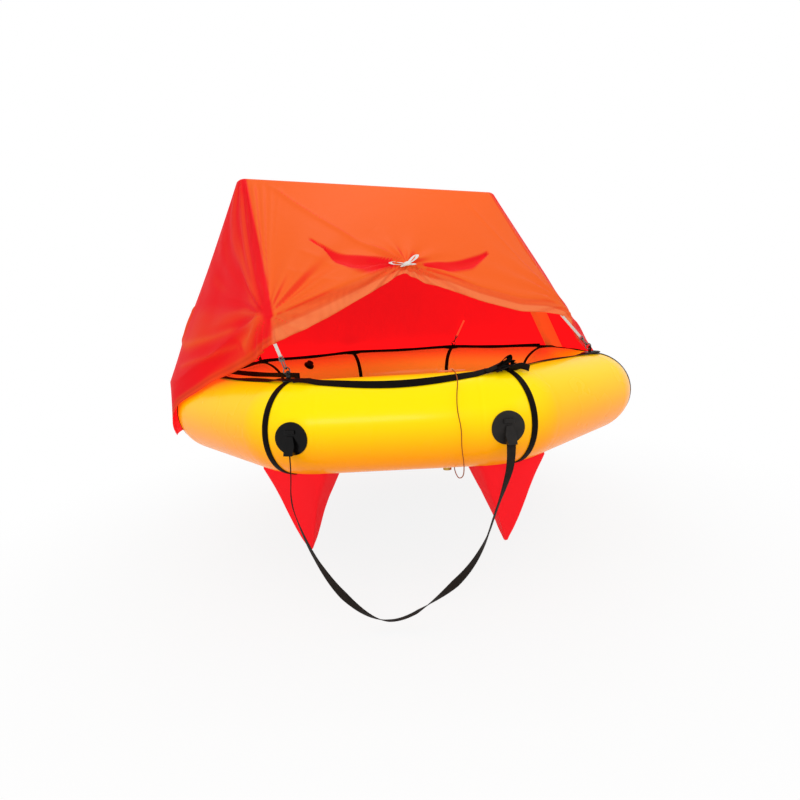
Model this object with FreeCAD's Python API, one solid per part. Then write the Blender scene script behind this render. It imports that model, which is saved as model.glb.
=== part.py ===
import FreeCAD, Part
import math
import Mesh
import os

Vector = FreeCAD.Vector
os.makedirs("parts", exist_ok=True)

# Inflated liferaft with a tent canopy. Millimetres, +Z up, +X to the boarder's right, -Y towards the boarder.
# The origin is the middle of the raft on the plane that the tube's underside floats on.

# Buoyancy tube: a regular octagon of one inflated tube.
tube_radius = 140.0
side_length = 610.0
corner_bend = 180.0
tube_top = 2 * tube_radius
side_count = 8
corner_turn = 360.0 / side_count
apothem = side_length / 2 / math.tan(math.radians(corner_turn / 2))
corner_reach = apothem / math.cos(math.radians(corner_turn / 2))
bend_centre = (apothem - corner_bend) / math.cos(math.radians(corner_turn / 2))
corner_names = ("d", "n", "m", "f", "l", "a", "b", "c")

# Clearances between neighbouring skins, and the seat of glued patches.
skin_gap = 0.3
running_gap = 0.08

# Floor sheet, welded inside the lower quarter of the tube.
floor_thickness = 3.0
floor_height = 8.0

# Webbing bands and rubber patches at the corners.
band_width = 20.0
band_thickness = 3.0
patch_half_length = 46.0
patch_half_width = 34.0
patch_thickness = 5.2
tab_width = 20.0
tab_thickness = 2.5
tab_height = 14.0
tab_hole_radius = 4.2
tab_shifts = {"a": -28.0, "c": 0.0, "n": 0.0, "f": 0.0}

# Inflated arch that carries the canopy, from the tube over corner l to the tube over corner d.
canopy_turn = 22.5
arch_radius = 34.0
arch_height = 965.0
arch_bend = 90.0
arch_foot_angle = 60.0
arch_foot_sink = 30.0
arch_left_shoulder = 18.0 - side_length
arch_right_shoulder = side_length - 140.0

# Canopy cloth.
cloth_thickness = 3.0
canopy_gap = 2.5
ridge_left_setback = 24.0
front_columns = 34
side_columns = 20
slope_rows = 8
hem_rows = 3
hem_middle = -60.0
hem_reach = side_length - 65.0
hem_flare = 6.0
# Across the front hem from corner a to corner c: share of the width, set-in from the tube's corner,
# height of the hem band's upper line over the tube's top, and width of the band.
front_hem = (
    (0.00, 15.0, 191.0, 79.0),
    (0.16, 80.0, 254.0, 76.0),
    (0.28, 130.0, 302.0, 62.0),
    (0.40, 175.0, 346.0, 38.0),
    (0.455, 170.0, 341.0, 28.0),
    (0.51, 163.0, 335.0, 46.0),
    (0.58, 144.0, 316.0, 50.0),
    (0.675, 93.0, 267.0, 50.0),
    (0.80, 42.0, 217.0, 46.0),
    (0.90, 35.0, 205.0, 42.0),
    (1.00, 30.0, 147.0, 41.0),
)
knot_share = 0.455
# Fans of folds on the front cloth, from corner a, the bow and corner c: share of the width, folds in a full
# turn, height, and reach as a share of the width. Then the bulge that the bow pulls out of the cloth.
front_fans = ((0.0, 14, 9.0, 0.138), (knot_share, 12, 8.0, 0.11), (1.0, 12, 5.0, 0.11))
slope_share = 0.7
swag_height = 24.0
swag_reach = 0.21
swag_row = 0.86
swag_rise = 0.10
swag_spread = 0.07
rear_folds = 7
rear_fold_height = 9.0
side_folds = 5
side_fold_height = 8.0
# Down the sides from a front corner to the arch's foot: share of the way, gap over the tube's skin,
# and angle round the tube from its outer side. First the shoulder line of the cloth, then its edge.
left_shoulder = ((0.0, 191.0, 86.7), (0.3, 156.0, 78.0), (0.55, 101.0, 63.0), (0.8, 65.0, 43.0),
                 (1.0, 58.0, 39.0))
left_edge = ((0.0, 112.0, 86.6), (0.3, 59.0, 83.7), (0.55, 19.0, 73.0), (0.68, 13.0, 40.6), (0.86, 16.0, 17.0),
             (1.0, 33.5, -27.4))
right_shoulder = ((0.0, 157.0, 105.0), (0.2, 120.0, 90.0), (0.45, 79.0, 66.0), (0.7, 62.0, 44.0),
                  (1.0, 58.0, 39.0))
right_edge = ((0.0, 116.0, 106.0), (0.1, 34.0, 100.0), (0.25, 16.0, 80.0), (0.45, 13.0, 42.0),
              (0.7, 16.0, 17.0), (1.0, 33.5, -27.4))
shoulder_gap = 58.0
shoulder_angle = 39.0
edge_gap = 33.5
edge_angle = -27.4

# Snap hook, ring and tape of each canopy tie.
ring_radius = 11.0
ring_wire = 1.9
hook_wire = 2.0
hook_bow = 7.0
hook_spine = 22.0
hook_block = 6.0
hook_half_width = 4.0
gate_wire = 1.6
gate_pin = 0.8
gate_barrel = 2.2
nose_height = 5.0
eye_height = 9.0
eye_half_width = 7.5
eye_bar = 3.0
tape_width = 10.0
tape_thickness = 1.6
rear_tie_share = 0.76
rear_tie_inset = 9.0
hem_tape_gap = 1.0

# Boarding strap and the rubber patches that hold its ends.
boarding_half_spacing = side_length / 2 - 12.0
boarding_radius = 46.5
boarding_thickness = 4.0
boarding_height = 136.0
keeper_width = 30.0
keeper_depth = 12.0
keeper_rise = 5.0
keeper_height = 14.0
strap_width = 25.0
strap_drop = 50.0
# Sewn root of the strap: height over the patch's middle, half width and depth of each section.
strap_root = ((8.0, 9.0, 4.0), (-16.0, 15.0, 12.0), (-40.0, strap_width / 2, strap_width))
# Hanging part of the strap: distance across as a share of the half spacing, and height.
strap_hang = ((-1.044, -34.0), (-0.976, -112.0), (-0.86, -205.0), (-0.642, -315.0), (-0.341, -396.0),
              (-0.061, -400.0), (0.3, -334.0), (0.573, -262.0), (0.751, -178.0), (0.853, -90.0), (0.949, -15.0))

# Ballast bags under the front and rear corners: height, half width and half depth of each section.
bag_sections = ((0.0, 116.0, 66.0), (-108.0, 66.0, 44.0), (-198.0, 33.0, 26.0), (-276.0, 7.0, 7.0))
bag_centre_offset = -30.0
bag_corners = ("a", "b", "m", "n")

# Lifelines.
lifeline_width = 24.0
lifeline_thickness = 2.0
inner_line_width = 15.0
inner_line_offset = -29.0
inner_line_start = 135.0
inner_line_sides = 5
line_shares = (0.3, 0.4, 0.5, 0.6, 0.7)
line_landing = 30.0
front_droop = 32.0
side_droop = 13.0
pulled_droop = -6.0
corner_lean = 10.0
arch_lean = -5.0
lifeline_lift = 1.5
patch_margin = 6.0

# Ladder buckle on the grab line over corner b.
buckle_length = 44.0
buckle_width = 32.0
buckle_height = 4.5
buckle_window = 12.0
buckle_rim = 4.5
buckle_turn = 8.0
buckle_offset = 24.0

# Bow of cord at the middle of the entrance hem.
bow_seat = 9.0
bow_knot_radius = 7.0
bow_cord_radius = 2.2
bow_loop_radius = 11.0
bow_loop_reach = 26.0
bow_loop_tilts = (14.0, 30.0)
bow_end_length = 30.0

# Knotted bundle of line on the front tube's crest.
bundle_radius = 7.0
bundle_inset = 9.0
bundle_loop_radius = 9.0
bundle_loop_wire = 1.8
bundle_loop_reach = 20.0

# Valve for topping up, on the inner side between corners m and f.
valve_angle = 132.0
valve_along = 64.0
valve_flange_radius = 26.0
valve_flange_thickness = 3.0
valve_body_radius = 14.0
valve_body_height = 20.0
valve_floor = 5.0
valve_bore = 9.0
poppet_stem = 2.5
poppet_travel = 2.5
poppet_base = 3.3
cap_radius = 17.0
cap_height = 18.7
cap_wall = 2.0
cap_tab_width = 12.0
cap_tab_length = 9.0

# Gas cylinder under the floor, with its head, lever and hose.
cylinder_radius = 30.0
cylinder_length = 300.0
cylinder_y = 266.0 - apothem
cylinder_end_x = side_length / 2 - 215.0
shoulder_length = 16.0
neck_radius = 11.0
neck_length = 8.0
sling_width = 28.0
sling_thickness = 2.0
head_size = 26.0
head_length = 44.0
lever_length = 46.0
lever_thickness = 5.0
lever_pin = 2.0
lever_rest = 30.0
outlet_length = 10.0
port_wall = 2.5
hose_radius = 6.0
hose_run = 60.0
inlet_y = 22.0 - apothem
inlet_height = -9.0
inlet_radius = 13.0
inlet_flange_radius = 24.0
inlet_flange_thickness = 2.5
inlet_port_reach = 24.0

# Thin firing line over the front tube.
line_diameter = 3.0
firing_line_x = side_length / 2 - 145.0
# Route of the line over and under the front tube: distances from firing_line_x and from the tube's middle
# towards the entrance, and height.
firing_path = ((0.0, -10.0, 289.0), (6.0, -44.0, 285.0), (8.0, -84.0, 266.0), (0.0, -118.0, 234.0),
               (-3.0, -142.0, 193.0), (6.0, -152.0, 144.0), (4.0, -152.0, 94.0), (10.0, -147.0, 46.0),
               (10.0, -122.0, 4.0), (1.0, -80.0, -16.0), (-2.0, -28.0, -20.0), (-1.0, 30.0, -24.0),
               (3.0, 88.0, -31.0), (10.0, 144.0, -38.0), (18.0, 196.0, -46.0), (21.0, 236.0, -52.0))
line_end_gap = 0.6
line_end_run = 14.0
line_end_turn = 19.0


def turned(u, v, z):
    """Point in the canopy's axes: u along the arch, v towards the entrance."""
    angle = math.radians(canopy_turn)
    x = u * math.cos(angle) + v * math.sin(angle)
    y = u * math.sin(angle) - v * math.cos(angle)
    return Vector(x, y, z)


def interpolate(table, share, column):
    """Value of a column of a table of stations at a share between them."""
    if share <= table[0][0]:
        return table[0][column]
    for low, high in zip(table, table[1:]):
        if share <= high[0]:
            part = (share - low[0]) / (high[0] - low[0])
            return low[column] + part * (high[column] - low[column])
    return table[-1][column]


def ring_distance(corner_angle, offset):
    """Distance from the middle to the octagon's centreline moved out by offset, where corner_angle is
    counted from the nearest corner. The corners are round, so a flat's rule holds only past the bend."""
    delta = math.radians(abs(corner_angle))
    half = math.radians(corner_turn / 2)
    radius = corner_bend + offset
    bend_end = math.atan2(radius * math.sin(half), bend_centre + radius * math.cos(half))
    if delta <= bend_end:
        return bend_centre * math.cos(delta) + math.sqrt(radius ** 2 - (bend_centre * math.sin(delta)) ** 2)
    return (apothem + offset) / math.cos(half - delta)


def ring_point(angle, gap, around):
    """Point at a gap over the tube's skin: angle about the raft in the canopy's axes, around the tube
    from its outer side up."""
    rho = tube_radius + gap
    offset = rho * math.cos(math.radians(around))
    height = tube_radius + rho * math.sin(math.radians(around))
    corner_angle = (angle + corner_turn / 2) % corner_turn - corner_turn / 2
    distance = ring_distance(corner_angle, offset)
    turn = math.radians(angle)
    return turned(distance * math.cos(turn), distance * math.sin(turn), height)


def corner_angle_of(name):
    """Angle of a corner from +X, anticlockwise from above."""
    return corner_turn / 2 + corner_turn * corner_names.index(name)


def corner_point(name, offset, height):
    """Point over a corner, moved out from the tube's centreline."""
    angle = math.radians(corner_angle_of(name))
    distance = bend_centre + corner_bend + offset
    return Vector(distance * math.cos(angle), distance * math.sin(angle), height)


def at_corner(shape, name):
    """Copy of a shape made over a corner on +X, turned to the named corner."""
    copy = shape.copy()
    copy.rotate(Vector(0, 0, 0), Vector(0, 0, 1), corner_angle_of(name))
    return copy


def at_flat(shape, angle):
    """Copy of a shape made over a flat on +X, turned to a flat's outward direction."""
    copy = shape.copy()
    copy.rotate(Vector(0, 0, 0), Vector(0, 0, 1), angle)
    return copy


def octagon_pipe(radius):
    """The whole tube, straight sides joined by round bends."""
    half = math.radians(corner_turn / 2)
    straight = side_length - 2 * corner_bend * math.tan(half)
    side = Part.makeCylinder(radius, straight, Vector(apothem, -straight / 2, tube_radius), Vector(0, 1, 0))
    bend = corner_bend_solid(radius)
    pieces = []
    for index in range(side_count):
        pieces.append(at_flat(side, corner_turn * index))
        pieces.append(at_flat(bend, corner_turn * (index + 0.5)))
    return pieces[0].multiFuse(pieces[1:]).removeSplitter()


def corner_bend_solid(radius):
    """The bend at a corner on +X."""
    circle = Part.Circle(Vector(bend_centre + corner_bend, 0, tube_radius), Vector(0, 1, 0), radius)
    disc = Part.Face(Part.Wire(circle.toShape()))
    axis_point = Vector(bend_centre, 0, 0)
    disc.rotate(axis_point, Vector(0, 0, 1), -corner_turn / 2)
    return disc.revolve(axis_point, Vector(0, 0, 1), corner_turn)


def facet_solid(triangles):
    """Closed solid from flat triangles that share their corners."""
    mesh = Mesh.Mesh([tuple(tuple(point) for point in triangle) for triangle in triangles])
    shell = Part.Shape()
    shell.makeShapeFromMesh(mesh.Topology, 0.01)
    solid = Part.makeSolid(shell)
    if solid.Volume < 0:
        solid.reverse()
    return solid


def quad(a, b, c, d):
    """Two triangles of a four-cornered patch, leaving out a triangle with no area."""
    triangles = []
    for triangle in ((a, b, c), (a, c, d)):
        area = (triangle[1] - triangle[0]).cross(triangle[2] - triangle[0]).Length
        if area > 1e-6:
            triangles.append(triangle)
    return triangles


def ribbon(points, normals, width, thickness, closed=False):
    """Flat webbing along points, its face square to the normals."""
    count = len(points)
    sections = []
    for index in range(count):
        before = points[index - 1] if closed or index > 0 else points[index]
        after = points[(index + 1) % count] if closed or index < count - 1 else points[index]
        along = (after - before).normalize()
        normal = normals[index] - along * normals[index].dot(along)
        normal = normal.normalize()
        across = along.cross(normal)
        corners = []
        for side, face in ((-1, -1), (1, -1), (1, 1), (-1, 1)):
            corners.append(points[index] + across * (side * width / 2) + normal * (face * thickness / 2))
        sections.append(corners)
    triangles = []
    last = count if closed else count - 1
    for index in range(last):
        here = sections[index]
        there = sections[(index + 1) % count]
        for corner in range(4):
            following = (corner + 1) % 4
            triangles += quad(here[corner], here[following], there[following], there[corner])
    if not closed:
        triangles += quad(sections[0][3], sections[0][2], sections[0][1], sections[0][0])
        triangles += quad(sections[-1][0], sections[-1][1], sections[-1][2], sections[-1][3])
    return facet_solid(triangles)


def rounded_path(points, radii):
    """Straight runs joined by tangent arcs, one radius for each inner point."""
    edges = []
    start = points[0]
    for index in range(1, len(points) - 1):
        corner = points[index]
        back = (points[index - 1] - corner).normalize()
        ahead = (points[index + 1] - corner).normalize()
        half = math.acos(max(-1.0, min(1.0, back.dot(ahead)))) / 2
        reach = radii[index - 1] / math.tan(half)
        first = corner + back * reach
        last = corner + ahead * reach
        middle_direction = (back + ahead).normalize()
        centre = corner + middle_direction * (radii[index - 1] / math.sin(half))
        middle = centre - middle_direction * radii[index - 1]
        edges.append(Part.LineSegment(start, first).toShape())
        edges.append(Part.Arc(first, middle, last).toShape())
        start = last
    edges.append(Part.LineSegment(start, points[-1]).toShape())
    return Part.Wire(edges)


def swept_tube(wire, radius):
    """Round tube along a path."""
    edge = wire.Edges[0]
    start = edge.valueAt(edge.FirstParameter)
    direction = edge.tangentAt(edge.FirstParameter)
    profile = Part.Wire(Part.Circle(start, direction, radius).toShape())
    return wire.makePipeShell([profile], True, False)


def cord_radii(points):
    """Arc radius at each inner point of a cord's route: 0.45 of the shorter run over the tangent of
    half the turn."""
    radii = []
    for before, corner, after in zip(points, points[1:], points[2:]):
        back = corner - before
        ahead = after - corner
        turn = back.getAngle(ahead)
        radii.append(0.45 * min(back.Length, ahead.Length) / math.tan(turn / 2))
    return radii


def cord(name, points, diameter):
    """Plain tube of a free cord, with its bend radii printed."""
    radii = cord_radii(points)
    wire = rounded_path(points, radii)
    solid = swept_tube(wire, diameter / 2)
    section = math.pi * diameter ** 2 / 4
    print(name, "length", round(wire.Length), "radii", [round(radius) for radius in radii],
          "volume share", round(solid.Volume / (section * wire.Length), 3))
    return solid


def canopy_columns():
    """Angle about the raft of each column of the cloth, from corner a over the front to corner c, then
    round the right side, the rear and the left side."""
    columns = []
    for index in range(front_columns):
        columns.append(("front", index / front_columns))
    for index in range(side_columns):
        columns.append(("right", index / side_columns))
    for index in range(front_columns):
        columns.append(("rear", index / front_columns))
    for index in range(side_columns):
        columns.append(("left", index / side_columns))
    return columns


def top_points(part, share):
    """Ridge point and the two points where the cloth leaves the arch, for one column."""
    outer = arch_radius + canopy_gap + cloth_thickness
    if part == "front":
        u = arch_left_shoulder + share * (arch_right_shoulder - arch_left_shoulder)
        turn = 90.0
    elif part == "rear":
        u = arch_right_shoulder + share * (arch_left_shoulder - arch_right_shoulder)
        turn = 270.0
    elif part == "right":
        u = arch_right_shoulder
        turn = 90.0 - 180.0 * share
    else:
        u = arch_left_shoulder
        turn = 270.0 - 180.0 * share
    ridge_u = max(u, arch_left_shoulder + ridge_left_setback)
    points = [turned(ridge_u, 0, arch_height + outer)]
    for lean in (24.0, 50.0):
        reach = outer * math.sin(math.radians(lean))
        height = arch_height + outer * math.cos(math.radians(lean))
        along = reach * math.cos(math.radians(turn))
        points.append(turned(u + along, reach * math.sin(math.radians(turn)), height))
    return points


def lower_points(part, share):
    """Shoulder point and edge point of one column."""
    if part == "front":
        u = hem_middle + hem_reach * (2 * share - 1)
        corner_v = corner_reach * math.cos(math.radians(corner_turn))
        v = corner_v - interpolate(front_hem, share, 1)
        upper = tube_top + interpolate(front_hem, share, 2)
        band = interpolate(front_hem, share, 3)
        flare = hem_flare * math.sin(math.pi * share)
        return turned(u, v, upper), turned(u, v + flare, upper - band)
    if part == "rear":
        angle = -45.0 - 90.0 * share
        return ring_point(angle, shoulder_gap, shoulder_angle), ring_point(angle, edge_gap, edge_angle)
    if part == "right":
        angle = 45.0 - 90.0 * share
        way = min(1.0, share * 2)
        shoulder = right_shoulder
        edge = right_edge
    else:
        angle = -135.0 - 90.0 * share
        way = min(1.0, (1 - share) * 2)
        shoulder = left_shoulder
        edge = left_edge
    upper = ring_point(angle, interpolate(shoulder, way, 1), interpolate(shoulder, way, 2))
    lower = ring_point(angle, interpolate(edge, way, 1), interpolate(edge, way, 2))
    return upper, lower


def pleat_height(across, down, gather_across, gather_down, count, height, reach):
    """Height of the folds that fan out from a gather, nothing at the gather and far from it."""
    distance = math.hypot(across - gather_across, down - gather_down)
    angle = math.atan2(down - gather_down, across - gather_across)
    fade = (distance / reach) * math.exp(1 - distance / reach)
    return height * fade * math.cos(count * angle)


def fold_height(part, share, row_share):
    """Height of the cloth's folds over its plain surface."""
    if part == "front":
        width = 2 * hem_reach
        depth = slope_share * width
        fans = 0.0
        for fan_share, count, height, reach in front_fans:
            fans += pleat_height(share * width, row_share * depth, fan_share * width, depth, count, height,
                                 reach * width)
        from_knot = (share - knot_share) / swag_reach
        row = (row_share - swag_row + swag_rise * abs(from_knot)) / swag_spread
        swag = swag_height * math.exp(-row ** 2 - from_knot ** 2)
        return (fans + swag) * math.sqrt(math.sin(math.pi * row_share))
    fade = row_share * math.sin(math.pi * share)
    if part == "rear":
        return rear_fold_height * math.cos(2 * math.pi * rear_folds * share) * fade
    return side_fold_height * math.cos(2 * math.pi * side_folds * share) * fade


def canopy():
    """Tent of cloth over the arch: a closed shell of thin cloth with its folds, hem band and skirt."""
    columns = canopy_columns()
    rows = []
    for part, share in columns:
        ridge, crown, leave = top_points(part, share)
        shoulder, edge = lower_points(part, share)
        column = [ridge, crown, leave]
        for step in range(1, slope_rows + 1):
            row_share = step / slope_rows
            point = leave + (shoulder - leave) * row_share
            column.append(point)
        for step in range(1, hem_rows + 1):
            row_share = step / hem_rows
            column.append(shoulder + (edge - shoulder) * row_share)
        rows.append(column)
    count = len(columns)
    depth = len(rows[0])
    outward = []
    for index in range(count):
        line = []
        for row in range(depth):
            left = rows[(index + 1) % count][row] - rows[index - 1][row]
            below = rows[index][min(row + 1, depth - 1)] - rows[index][max(row - 1, 0)]
            normal = below.cross(left)
            if row == 0:
                normal = Vector(0, 0, 1)
            line.append(normal.normalize())
        outward.append(line)
    outer = []
    inner = []
    for index, (part, share) in enumerate(columns):
        outer_line = []
        inner_line = []
        for row in range(depth):
            lift = 0.0
            if 2 < row < 2 + slope_rows:
                lift = fold_height(part, share, (row - 2) / slope_rows)
            point = rows[index][row] + outward[index][row] * lift
            outer_line.append(point)
            inner_line.append(point - outward[index][row] * cloth_thickness)
        outer.append(outer_line)
        inner.append(inner_line)
    triangles = []
    for index in range(count):
        following = (index + 1) % count
        for row in range(depth - 1):
            triangles += quad(outer[index][row], outer[index][row + 1], outer[following][row + 1],
                              outer[following][row])
            triangles += quad(inner[following][row], inner[following][row + 1], inner[index][row + 1],
                              inner[index][row])
        triangles += quad(outer[index][-1], inner[index][-1], inner[following][-1], outer[following][-1])
    return facet_solid(triangles)


def arch(radius):
    """Inflated arch as a tube of a given radius, its feet running into the tube over two corners."""
    foot_rho = tube_radius - arch_foot_sink
    foot_u = corner_reach + foot_rho * math.cos(math.radians(arch_foot_angle))
    foot_z = tube_radius + foot_rho * math.sin(math.radians(arch_foot_angle))
    points = [turned(-foot_u, 0, foot_z), turned(arch_left_shoulder, 0, arch_height),
              turned(arch_right_shoulder, 0, arch_height), turned(foot_u, 0, foot_z)]
    wire = rounded_path(points, [arch_bend, arch_bend])
    return swept_tube(wire, radius)


def corner_band():
    """Webbing band round the tube at a corner on +X."""
    centre = bend_centre + corner_bend
    outer = tube_radius + skin_gap + band_thickness
    ring = Part.makeCylinder(outer, band_width, Vector(centre, -band_width / 2, tube_radius), Vector(0, 1, 0))
    return ring.cut(corner_bend_solid(tube_radius + skin_gap))


def band_room():
    """Room that other pieces leave round the band at a corner on +X."""
    radius = tube_radius + 2 * skin_gap + band_thickness
    width = band_width + 2 * skin_gap
    return Part.makeCylinder(radius, width, Vector(bend_centre + corner_bend, -width / 2, tube_radius),
                             Vector(0, 1, 0))


def corner_patch(lean_angle, tab_shift):
    """Rubber patch over the band on top of the tube. Where a ring is held it has a standing webbing tab,
    moved along the tube by tab_shift and turned by lean_angle."""
    centre = bend_centre + corner_bend
    column = Part.makeCylinder(1.0, tube_radius, Vector(0, 0, 0))
    stretch = FreeCAD.Matrix()
    stretch.scale(patch_half_width, patch_half_length, 1)
    oval = column.transformGeometry(stretch)
    oval.translate(Vector(centre, 0, tube_radius + tube_radius / 2))
    sheet = oval.common(corner_bend_solid(tube_radius + skin_gap + patch_thickness))
    sheet = sheet.cut(corner_bend_solid(tube_radius + skin_gap))
    patch = sheet.cut(band_room())
    if lean_angle is None:
        return patch
    base = hole_height() - tab_height
    tab = Part.makeBox(tab_thickness, tab_width, tab_height + 1.0,
                       Vector(-tab_thickness / 2, -tab_width / 2, 0))
    round_end = Part.makeCylinder(tab_width / 2, tab_thickness, Vector(-tab_thickness / 2, 0, tab_height + 1.0),
                                  Vector(1, 0, 0))
    hole = Part.makeCylinder(tab_hole_radius, 3 * tab_thickness, Vector(-1.5 * tab_thickness, 0, tab_height),
                             Vector(1, 0, 0))
    tab = tab.fuse(round_end).cut(hole)
    tab.rotate(Vector(0, 0, 0), Vector(0, 0, 1), lean_angle)
    tab.translate(Vector(centre, tab_shift, base))
    return patch.fuse(tab)


def hole_height():
    """Height of the middle of a tab's hole."""
    return tube_top + patch_thickness + skin_gap - 1.0 + tab_height


def placed(shape, origin, direction, side):
    """Shape made on local axes, with its +Z along direction and its +X near side, moved to origin."""
    z_axis = Vector(direction).normalize()
    y_axis = z_axis.cross(side).normalize()
    x_axis = y_axis.cross(z_axis)
    matrix = FreeCAD.Matrix(x_axis.x, y_axis.x, z_axis.x, origin.x, x_axis.y, y_axis.y, z_axis.y, origin.y,
                            x_axis.z, y_axis.z, z_axis.z, origin.z, 0, 0, 0, 1)
    copy = shape.copy()
    copy.transformShape(matrix, True)
    return copy


def tie_ring():
    """Steel ring on local axes, in the X-Z plane, its lowest wire through the origin."""
    return Part.makeTorus(ring_radius, ring_wire, Vector(0, 0, ring_radius), Vector(0, 1, 0))


def hook_base():
    """Height over the ring's lowest wire of the middle of the hook's bow."""
    return 2 * ring_radius + hook_bow - hook_wire - ring_wire - skin_gap


def snap_hook():
    """Snap hook on local axes in the Y-Z plane: bow, spine, nose, pivot block with its pin, and eye."""
    bow = Part.makeTorus(hook_bow, hook_wire, Vector(0, 0, 0), Vector(1, 0, 0))
    lower_half = Part.makeBox(6 * hook_wire, 6 * hook_bow, 3 * hook_bow,
                              Vector(-3 * hook_wire, -3 * hook_bow, -3 * hook_bow))
    bow = bow.common(lower_half)
    spine = Part.makeCylinder(hook_wire, hook_spine, Vector(0, -hook_bow, 0))
    nose = Part.makeCylinder(hook_wire, nose_height, Vector(0, hook_bow, 0))
    block = Part.makeBox(2 * hook_half_width, 2 * hook_bow + 2 * hook_wire, hook_block,
                         Vector(-hook_half_width, -hook_bow - hook_wire, hook_spine - hook_block / 2))
    slot_half = gate_barrel + 2 * running_gap
    slot = Part.makeBox(2 * slot_half, hook_bow + hook_wire + 1.0, 2 * hook_block,
                        Vector(-slot_half, hook_bow - gate_barrel - 1.0, hook_spine - hook_block))
    pin = Part.makeCylinder(gate_pin, 2 * hook_half_width, Vector(-hook_half_width, hook_bow, hook_spine),
                            Vector(1, 0, 0))
    eye_base = hook_spine + hook_block / 2
    eye = Part.makeBox(2 * eye_half_width, eye_bar, eye_height, Vector(-eye_half_width, -eye_bar / 2, eye_base))
    eye_slot = Part.makeBox(2 * (eye_half_width - eye_bar + 0.8), 3 * eye_bar, eye_height - 2 * eye_bar + 1.5,
                            Vector(-eye_half_width + eye_bar - 0.8, -1.5 * eye_bar, eye_base + eye_bar - 1.0))
    body = block.cut(slot).fuse([bow, spine, nose, pin, eye.cut(eye_slot)])
    return body.removeSplitter()


def hook_gate():
    """Sprung gate of the hook, from its barrel on the pin down to the nose."""
    barrel = Part.makeCylinder(gate_barrel, 2 * gate_barrel, Vector(-gate_barrel, hook_bow, hook_spine),
                               Vector(1, 0, 0))
    stem_top = hook_spine - gate_barrel / 2
    stem_base = nose_height + skin_gap
    stem = Part.makeCylinder(gate_wire, stem_top - stem_base, Vector(0, hook_bow, stem_base))
    bore = Part.makeCylinder(gate_pin + running_gap, 4 * gate_barrel,
                             Vector(-2 * gate_barrel, hook_bow, hook_spine), Vector(1, 0, 0))
    return barrel.fuse(stem).cut(bore).removeSplitter()


def tape_base():
    """Height over the hook's bow of the middle of the bar that the tape goes round."""
    return hook_spine + hook_block / 2 + eye_height - eye_bar / 2 - 0.25


def tie_tape(length):
    """Tape from its loop round the eye's bar up to the cloth."""
    loop_outer = eye_bar + 2 * tape_thickness + 2 * skin_gap
    loop_inner = eye_bar + 2 * skin_gap
    bar = tape_base()
    loop = Part.makeBox(tape_width, loop_outer, loop_outer,
                        Vector(-tape_width / 2, -loop_outer / 2, bar - loop_outer / 2))
    window = Part.makeBox(2 * tape_width, loop_inner, loop_inner,
                          Vector(-tape_width, -loop_inner / 2, bar - loop_inner / 2))
    run_start = bar + loop_inner / 2 + tape_thickness / 2
    run = Part.makeBox(tape_width, tape_thickness, length,
                       Vector(-tape_width / 2, -tape_thickness / 2, run_start))
    return loop.cut(window).fuse(run).removeSplitter()


def tie_top(name):
    """Where the tape meets the cloth, for the tie at a corner."""
    if name == "a":
        return lower_points("front", 0.0)[1] - Vector(0, 0, hem_tape_gap)
    if name == "c":
        return lower_points("front", 1.0)[1] - Vector(0, 0, hem_tape_gap)
    part, share = ("right", 1.0) if name == "n" else ("left", 0.0)
    leave = top_points(part, share)[2]
    shoulder = lower_points(part, share)[0]
    seam = leave + (shoulder - leave) * rear_tie_share
    inward = Vector(-seam.x, -seam.y, 0).normalize()
    return seam + inward * rear_tie_inset


def tie_pieces(name):
    """Ring, hook, gate and tape of one tie, in line from the tab's hole to the cloth."""
    turn = math.radians(corner_angle_of(name))
    along_tube = Vector(-math.sin(turn), math.cos(turn), 0)
    hole = corner_point(name, 0, hole_height()) + along_tube * tab_shifts[name]
    target = tie_top(name)
    direction = (target - hole).normalize()
    lean = Vector(direction.x, direction.y, 0)
    side = lean.normalize()
    length = (target - hole).Length - hook_base() - tape_base() - eye_bar / 2 - skin_gap - tape_thickness / 2
    ring = placed(tie_ring(), hole, direction, side)
    hook_origin = hole + direction * hook_base()
    hook = placed(snap_hook(), hook_origin, direction, side)
    gate = placed(hook_gate(), hook_origin, direction, side)
    tape = placed(tie_tape(length), hook_origin, direction, side)
    across = direction.cross(side).normalize()
    pivot = hook_origin + direction * hook_spine + across * hook_bow
    hinge = direction.cross(across)
    print("gate pivot", name, [round(value, 3) for value in pivot])
    print("gate axis", name, [round(value, 5) for value in hinge])
    return ring, hook, gate, tape, math.degrees(math.atan2(lean.y, lean.x))


def ballast_bag(fat_tube):
    """Hanging water bag at a corner on +X: four cloth sides that draw in towards the weighted tip."""
    centre = bend_centre + corner_bend + bag_centre_offset
    sections = []
    for height, half_width, half_depth in bag_sections:
        z = height + floor_height - skin_gap
        corners = [Vector(centre - half_depth, -half_width, z), Vector(centre + half_depth, -half_width, z),
                   Vector(centre + half_depth, half_width, z), Vector(centre - half_depth, half_width, z)]
        sections.append(Part.makePolygon(corners + [corners[0]]))
    return Part.makeLoft(sections, True, False).cut([fat_tube, band_room()])


def lifeline_shares():
    """Shares of a side where the grab line has a point: on the patch's edges, where it lands on the
    tube, and between."""
    patch_share = (patch_half_length + patch_margin) / side_length
    landing_share = patch_share + line_landing / side_length
    return (0.0, patch_share, landing_share) + line_shares + (1 - landing_share, 1 - patch_share)


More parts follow.
